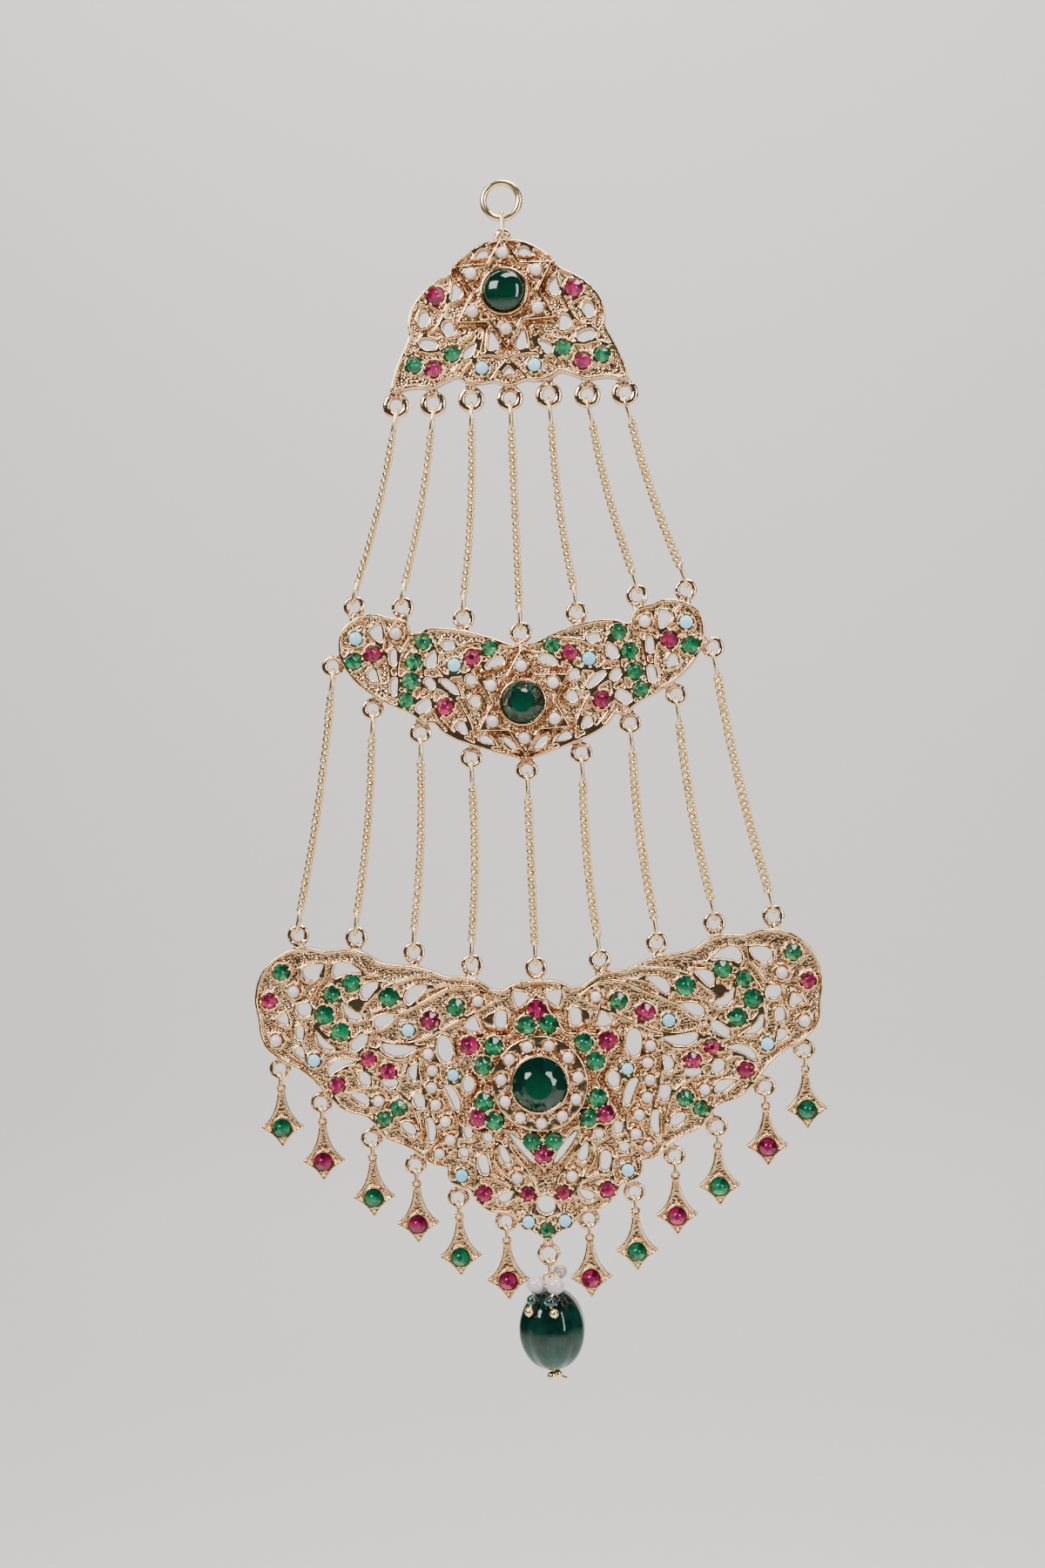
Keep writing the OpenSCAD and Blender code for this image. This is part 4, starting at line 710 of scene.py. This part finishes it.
def grains(name, nodes, outside, rim_height, size, turned=None):
    """Grains round each stone, each ring turned by chance unless an angle is given."""
    places = []
    rng = np.random.default_rng(3)
    for node in nodes:
        for low, high in stone_boxes[node]:
            centre = (low + high) / 2
            r = (high.x - low.x) / 2 + outside
            count = 4 if turned == 0 or "pearl" in node else 5
            start = turned if turned is not None else rng.random() * 2 * math.pi
            for k in range(count):
                turn = start + 2 * math.pi * k / count
                if turned is None:
                    turn += rng.normal(0, 0.12)
                x = centre.x + r * math.cos(turn)
                z = centre.z + r * math.sin(turn)
                at = Vector((x, high.y - rim_height, z))
                places.append(facing(at, size * rng.uniform(0.85, 1.1)))
    piece = copies(grain_model, places, name)
    piece.data.materials.append(wire_gold)
    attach(piece, "headpiece")
    print(piece.name, len(places))


GRAIN_SIZE = 0.42 * MM
COLLET_RIM, COLLET_HEIGHT = 0.13 * MM, 0.6 * MM
DROP_RIM, DROP_HEIGHT = 0.62 * MM, 0.4 * MM
for level in PANELS:
    kinds = [level + "_" + kind for kind in ("emeralds", "rubies", "pearls", "turquoises")]
    grains(level + "_grains", kinds, COLLET_RIM, COLLET_HEIGHT, GRAIN_SIZE)
drop_stones = ["drop_emeralds", "drop_rubies"]
grains("drop_grains", drop_stones, DROP_RIM, DROP_HEIGHT, 1.2 * GRAIN_SIZE, turned=0)

# %% [markdown]
# ## The chains
# The solids stand for each chain as a smooth tube with a long link at both
# ends. The real one is a curb chain: every link is an oval of wire twisted by
# more than a quarter turn, so that the links lie over each other like the
# strands of a rope. One link is made from a torus, stretched and twisted.


# %% Model a link
CHAIN_PITCH = 0.95 * MM
CHAIN_WIDTH = 1.72 * MM
CHAIN_WIRE = 0.50 * MM
LINK_TWIST = math.radians(-110)


def oval(name, length, width, wire, around, sides):
    """A flat oval of wire, its long way along X, by its outer sizes."""
    bpy.ops.object.select_all(action="DESELECT")
    bpy.ops.mesh.primitive_torus_add(
        major_segments=around,
        minor_segments=sides,
        major_radius=(width - wire) / 2,
        minor_radius=wire / 2,
    )
    link = bpy.context.object
    link.name = name
    for side in (-1, 1):
        for part in (link.data.vertices, link.data.edges, link.data.polygons):
            part.foreach_set("select", [False] * len(part))
        for vertex in link.data.vertices:
            vertex.select = side * vertex.co.x > 0.001 * MM
        bpy.ops.object.mode_set(mode="EDIT")
        bpy.ops.transform.translate(value=(side * (length - width) / 2, 0, 0))
        bpy.ops.object.mode_set(mode="OBJECT")
    return link


curb_link = oval("curb_link", CHAIN_PITCH + 2 * CHAIN_WIRE, CHAIN_WIDTH, CHAIN_WIRE, 12, 5)
worked(curb_link, "SIMPLE_DEFORM", deform_method="TWIST", deform_axis="X", angle=LINK_TWIST)
print("link size in mm", [round(s / MM, 2) for s in curb_link.dimensions])


# %% [markdown]
# The line of each chain is read from its solid: a plane cuts the solid's mesh
# at fourteen heights, and the middle of each cut is a point of the line.


# %% Read a chain's line
CUTS = 14
# The first and last cut lie this far inside the solid's ends
CUT_MARGIN = 1.3 * MM


def chain_line(node):
    piece = solid_copy(node, "measure")
    low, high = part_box(node)
    line = []
    drop = high[2] - low[2] - 2 * CUT_MARGIN
    for k in range(CUTS):
        z = high[2] - CUT_MARGIN - drop * k / (CUTS - 1)
        bm = bmesh.new()
        bm.from_mesh(piece.data)
        cut = bmesh.ops.bisect_plane(
            bm,
            geom=bm.verts[:] + bm.edges[:] + bm.faces[:],
            plane_co=(0, 0, z),
            plane_no=(0, 0, 1),
        )
        ring = [v.co for v in cut["geom_cut"] if isinstance(v, bmesh.types.BMVert)]
        xs = [v.x for v in ring]
        line.append(Vector(((min(xs) + max(xs)) / 2, 0, z)))
        bm.free()
    discard(piece)
    return line


def walk(line, steps):
    """Points and directions at equal steps along a line."""
    lengths = [0.0]
    for a, b in zip(line, line[1:]):
        lengths.append(lengths[-1] + (b - a).length)
    for k in range(steps):
        s = lengths[-1] * (k + 0.5) / steps
        i = max(j for j in range(len(line) - 1) if lengths[j] <= s)
        part = (s - lengths[i]) / (lengths[i + 1] - lengths[i])
        yield line[i].lerp(line[i + 1], part), (line[i + 1] - line[i]).normalized()


def along(place, direction, roll):
    """A frame whose X runs along a direction and whose Z looks at the viewer, rolled."""
    x = direction
    y = Vector((0, -1, 0)).cross(x).normalized()
    z = x.cross(y)
    turned = Matrix((x, y, z)).transposed().to_4x4()
    return Matrix.Translation(place) @ turned @ Matrix.Rotation(roll, 4, "X")


# %% [markdown]
# Each end link goes round the wire of its loop, so its bend is found first.
# The twisted links fill the way between the two end links, each turned about
# the line by nearly the same angle.

# %% Hang the chains
END_LINK = 1.9 * MM
LINK_WIRE = 0.5 * MM
LINK_GAP = 0.15 * MM
FIRST_LINK = END_LINK + 0.4 * MM
# The top panel's loops are of thicker wire than the others
TOP_LOOP = {"upper": 1.0 * MM, "lower": 0.75 * MM}
LOW_LOOP = 0.75 * MM
LINK_ROLL = {"upper": 70, "lower": 62}
ROLL_SPREAD = 3
chain_nodes = [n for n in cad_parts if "_chain_" in n]
link_count = 0
for node in sorted(chain_nodes):
    low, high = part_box(node)
    line = chain_line(node)
    top_way = (line[1] - line[0]).normalized()
    low_way = (line[-1] - line[-2]).normalized()
    kind = node.split("_")[0]
    ends = []
    for z, way, wire in ((high[2], top_way, TOP_LOOP[kind]), (low[2], -low_way, LOW_LOOP)):
        ring = wire / 2 + LINK_GAP + LINK_WIRE / 2
        sign = 1 if way.z < 0 else -1
        bend = z - sign * (ring * abs(way.z) + LINK_WIRE / 2)
        nearest = line[0] if way.z < 0 else line[-1]
        ends.append((nearest + way * ((bend - nearest.z) / way.z), way, ring))
    start, finish = (bend + way * FIRST_LINK for bend, way, ring in ends)
    middle = [p for p in line if finish.z < p.z < start.z]
    path = [start] + middle + [finish]
    length = sum((b - a).length for a, b in zip(path, path[1:]))
    count = round(length / CHAIN_PITCH)
    rng = np.random.default_rng(int(node[-1]) + len(node))
    places = []
    for point, direction in walk(path, count):
        roll = math.radians(rng.normal(LINK_ROLL[kind], ROLL_SPREAD))
        places.append(along(point, direction, roll))
    link_count += count
    chain = copies(curb_link, places, node + "_links")
    chain_ends = []
    for bend, way, ring in ends:
        wide = 2 * ring + LINK_WIRE
        link = oval("end_link", END_LINK + wide, wide, LINK_WIRE, 20, 8)
        place = along(bend + way * END_LINK / 2, way, math.radians(90))
        chain_ends.append(copies(link, [place], node + "_end"))
        discard(link)
    pick(chain)
    for end in chain_ends:
        end.select_set(True)
    bpy.ops.object.join()
    chain.data.materials.append(wire_gold)
    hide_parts(node)
    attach(chain, "headpiece")
print("chain links", link_count)

# %% [markdown]
# ## The star drops
# All twelve drops came from one mould, so one is cast here and copied under
# the other loops. Each copy gets its own mesh.

# %% Cast the drops
DROPS = 12
DROP_CUBE = 0.1 * MM
DROP_UNEVEN = 0.05 * MM
DROP_TRIANGLES = 9000
DROP_DEPTH = 0.5 * MM
first_low = Vector(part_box("drop_1")[0])
drop_model = cast("drop_1", "drop_model", DROP_CUBE, DROP_UNEVEN, DROP_TRIANGLES)
mark_hollows(drop_model, DROP_DEPTH)
for node in [f"drop_{k}" for k in range(1, DROPS + 1)]:
    shift = Vector(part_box(node)[0]) - first_low
    mesh = drop_model.data.copy()
    mesh.transform(Matrix.Translation(shift))
    drop = bpy.data.objects.new(node + "_cast", mesh)
    bpy.context.scene.collection.objects.link(drop)
    drop.data.materials.append(cast_gold)
    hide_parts(node)
    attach(drop, "headpiece")
discard(drop_model)

# %% [markdown]
# ## Rings, links and wires
# These solids are true rings and straight wires already, so they stay as they
# are and only take the polished wire's finish.


# %% Finish the wires
def keep_solid(node, finish):
    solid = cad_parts[node]
    solid.data.materials.clear()
    solid.data.materials.append(finish)
    print(node, "faces", len(solid.data.polygons))


for node in ("hang_ring", "bail_link", "drop_links"):
    keep_solid(node, wire_gold)
for node in ("pendant_link", "pendant_wires", "pendant_gold_beads"):
    keep_solid(node, wire_gold)

# %% [markdown]
# ## The pendant
# The bead is a melon bead: an egg of dark glass with shallow flutes. Its solid
# has flat strips between the flutes, so the bead is modelled again as a round
# egg whose surface sinks softly at each flute.

# %% Model the bead
bead_low, bead_high = (Vector(c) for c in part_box("pendant_bead"))
bead_size = bead_high - bead_low
SEGMENTS, FLUTES = 96, 8
FLUTE_STEP = 0.985
# A hair smaller than the solid, so that it stays inside the solid's box
BEAD_FIT = 0.995
bpy.ops.object.select_all(action="DESELECT")
bpy.ops.mesh.primitive_uv_sphere_add(segments=SEGMENTS, ring_count=40, radius=0.5)
bead = bpy.context.object
bead.name = "melon_bead"


def squeeze(piece, reach, by):
    """Draws the points within a few steps of each flute's line towards the axis."""
    for part in (piece.data.vertices, piece.data.edges, piece.data.polygons):
        part.foreach_set("select", [False] * len(part))
    for vertex in piece.data.vertices:
        step = math.atan2(vertex.co.y, vertex.co.x) / (2 * math.pi) * SEGMENTS + 0.01
        vertex.select = (step + reach) % (SEGMENTS / FLUTES) <= 2 * reach + 0.02
    bpy.ops.object.mode_set(mode="EDIT")
    bpy.ops.transform.resize(value=(by, by, 1), center_override=(0, 0, 0))
    bpy.ops.object.mode_set(mode="OBJECT")


for reach in (4, 3, 2, 1, 0):
    squeeze(bead, reach, FLUTE_STEP)
worked(bead, "SMOOTH", factor=0.5, iterations=3)
across = bead_size.x / max(bead.dimensions.x, bead.dimensions.y) * BEAD_FIT
upright = bead_size.z / bead.dimensions.z * BEAD_FIT
pick(bead)
bead.scale = (across, across, upright)
bead.location = (bead_low + bead_high) / 2
bpy.ops.object.transform_apply(location=True, rotation=True, scale=True)
bead.data.polygons.foreach_set("use_smooth", [True] * len(bead.data.polygons))
heights = points_of(bead)[:, 2]
note(bead.data, "high", "POINT", (heights - heights.min()) / np.ptp(heights))
bead.data.materials.append(bead_glass)
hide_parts("pendant_bead")
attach(bead, "pendant")
print("bead in mm", [round(s / MM, 1) for s in bead.dimensions])

# %% [markdown]
# The pearls and seed beads over the large bead are small and round, so they
# keep their solids too.

# %% Finish the small beads
keep_solid("pendant_pearls", pearl)
keep_solid("pendant_seed_beads", seed_glass)

# %% [markdown]
# ## Light and ground
# Gold shows what is round it, so the light matters as much as the finish:
# three soft boxes give broad pale streaks, and the dark room between them
# gives the metal its contrast. The ground is one pale sheet that curves up
# far behind the piece, with a lamp of its own.

# %% Ground
# The sheet's side view, as depth and height in mm, and half its width
SHEET = [(-900, -320), (520, -320), (640, -310), (720, -270), (750, -190), (760, 1000)]
HALF_WIDTH = 1300
sheet_mesh = bpy.data.meshes.new("ground")
corners = [(x, y, z) for y, z in SHEET for x in (-HALF_WIDTH, HALF_WIDTH)]
sheet_mesh.from_pydata(
    [Vector(c) * MM for c in corners],
    [],
    [(2 * k, 2 * k + 1, 2 * k + 3, 2 * k + 2) for k in range(len(SHEET) - 1)],
)
ground = bpy.data.objects.new("ground", sheet_mesh)
bpy.context.scene.collection.objects.link(ground)
worked(ground, "SUBSURF", levels=3, render_levels=3)
ground.data.polygons.foreach_set("use_smooth", [True] * len(ground.data.polygons))
ground_finish = Finish("ground")
ground_finish.value(Base_Color=(0.76, 0.74, 0.72, 1), Roughness=0.8)
ground.data.materials.append(ground_finish.material)
ground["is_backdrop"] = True

# %% [markdown]
# Each lamp is a wide soft box, because a small lamp would leave hard dots on
# the metal. The key stands at the upper left, a weaker fill at the right, and
# a third box hangs over the piece. Places and sizes are in mm.


# %% Lamps
def softbox(name, place, size, power, aim_at=VIEW_CENTRE):
    light = bpy.data.objects.new(name, bpy.data.lights.new(name, "AREA"))
    light.data.shape = "RECTANGLE"
    light.data.size, light.data.size_y = (s * MM for s in size)
    light.data.energy = power
    light.location = Vector(place) * MM
    light.rotation_euler = (aim_at - light.location).to_track_quat("-Z", "Y").to_euler()
    light.visible_camera = False
    bpy.context.scene.collection.objects.link(light)


softbox("key", (-330, -360, 220), (340, 240), 4.6)
softbox("fill", (380, -300, 0), (110, 400), 1.9)
softbox("top", (110, -90, 340), (420, 150), 3.0)
softbox("backdrop", (0, 300, 750), (1000, 250), 10, Vector((0, 0.76, -0.05)))

# %% [markdown]
# The room is dark to everything but the camera, which sees it pale, so a
# view from any side has a plain background.

# %% The room
ROOM_LIGHT = 0.06
ROOM_SHOWN = 0.7
world = bpy.data.worlds.new("studio")
bpy.context.scene.world = world
world.use_nodes = True
room = world.node_tree
background = room.nodes["Background"]
background.inputs["Color"].default_value = (0.95, 0.95, 1.0, 1)
ray = room.nodes.new("ShaderNodeLightPath")
level_of_light = room.nodes.new("ShaderNodeMapRange")
level_of_light.inputs["To Min"].default_value = ROOM_LIGHT
level_of_light.inputs["To Max"].default_value = ROOM_SHOWN
room.links.new(ray.outputs["Is Camera Ray"], level_of_light.inputs["Value"])
room.links.new(level_of_light.outputs["Result"], background.inputs["Strength"])

# %% [markdown]
# The models were only there to be copied, so they go. Then the size of what
# is shown is printed, with its count of triangles.

# %% Clear the models and write the sizes
for model in (small_cut, turquoise_dome, large_cut, large_dome):
    discard(model)
for model in (round_pearl, grain_model, curb_link):
    discard(model)
shown_box = [list(corner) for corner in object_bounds()]
print("shown box in mm", [[round(c / MM, 1) for c in corner] for corner in shown_box])
print("shown triangles", sum(triangles(p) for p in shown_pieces() if p.type == "MESH"))
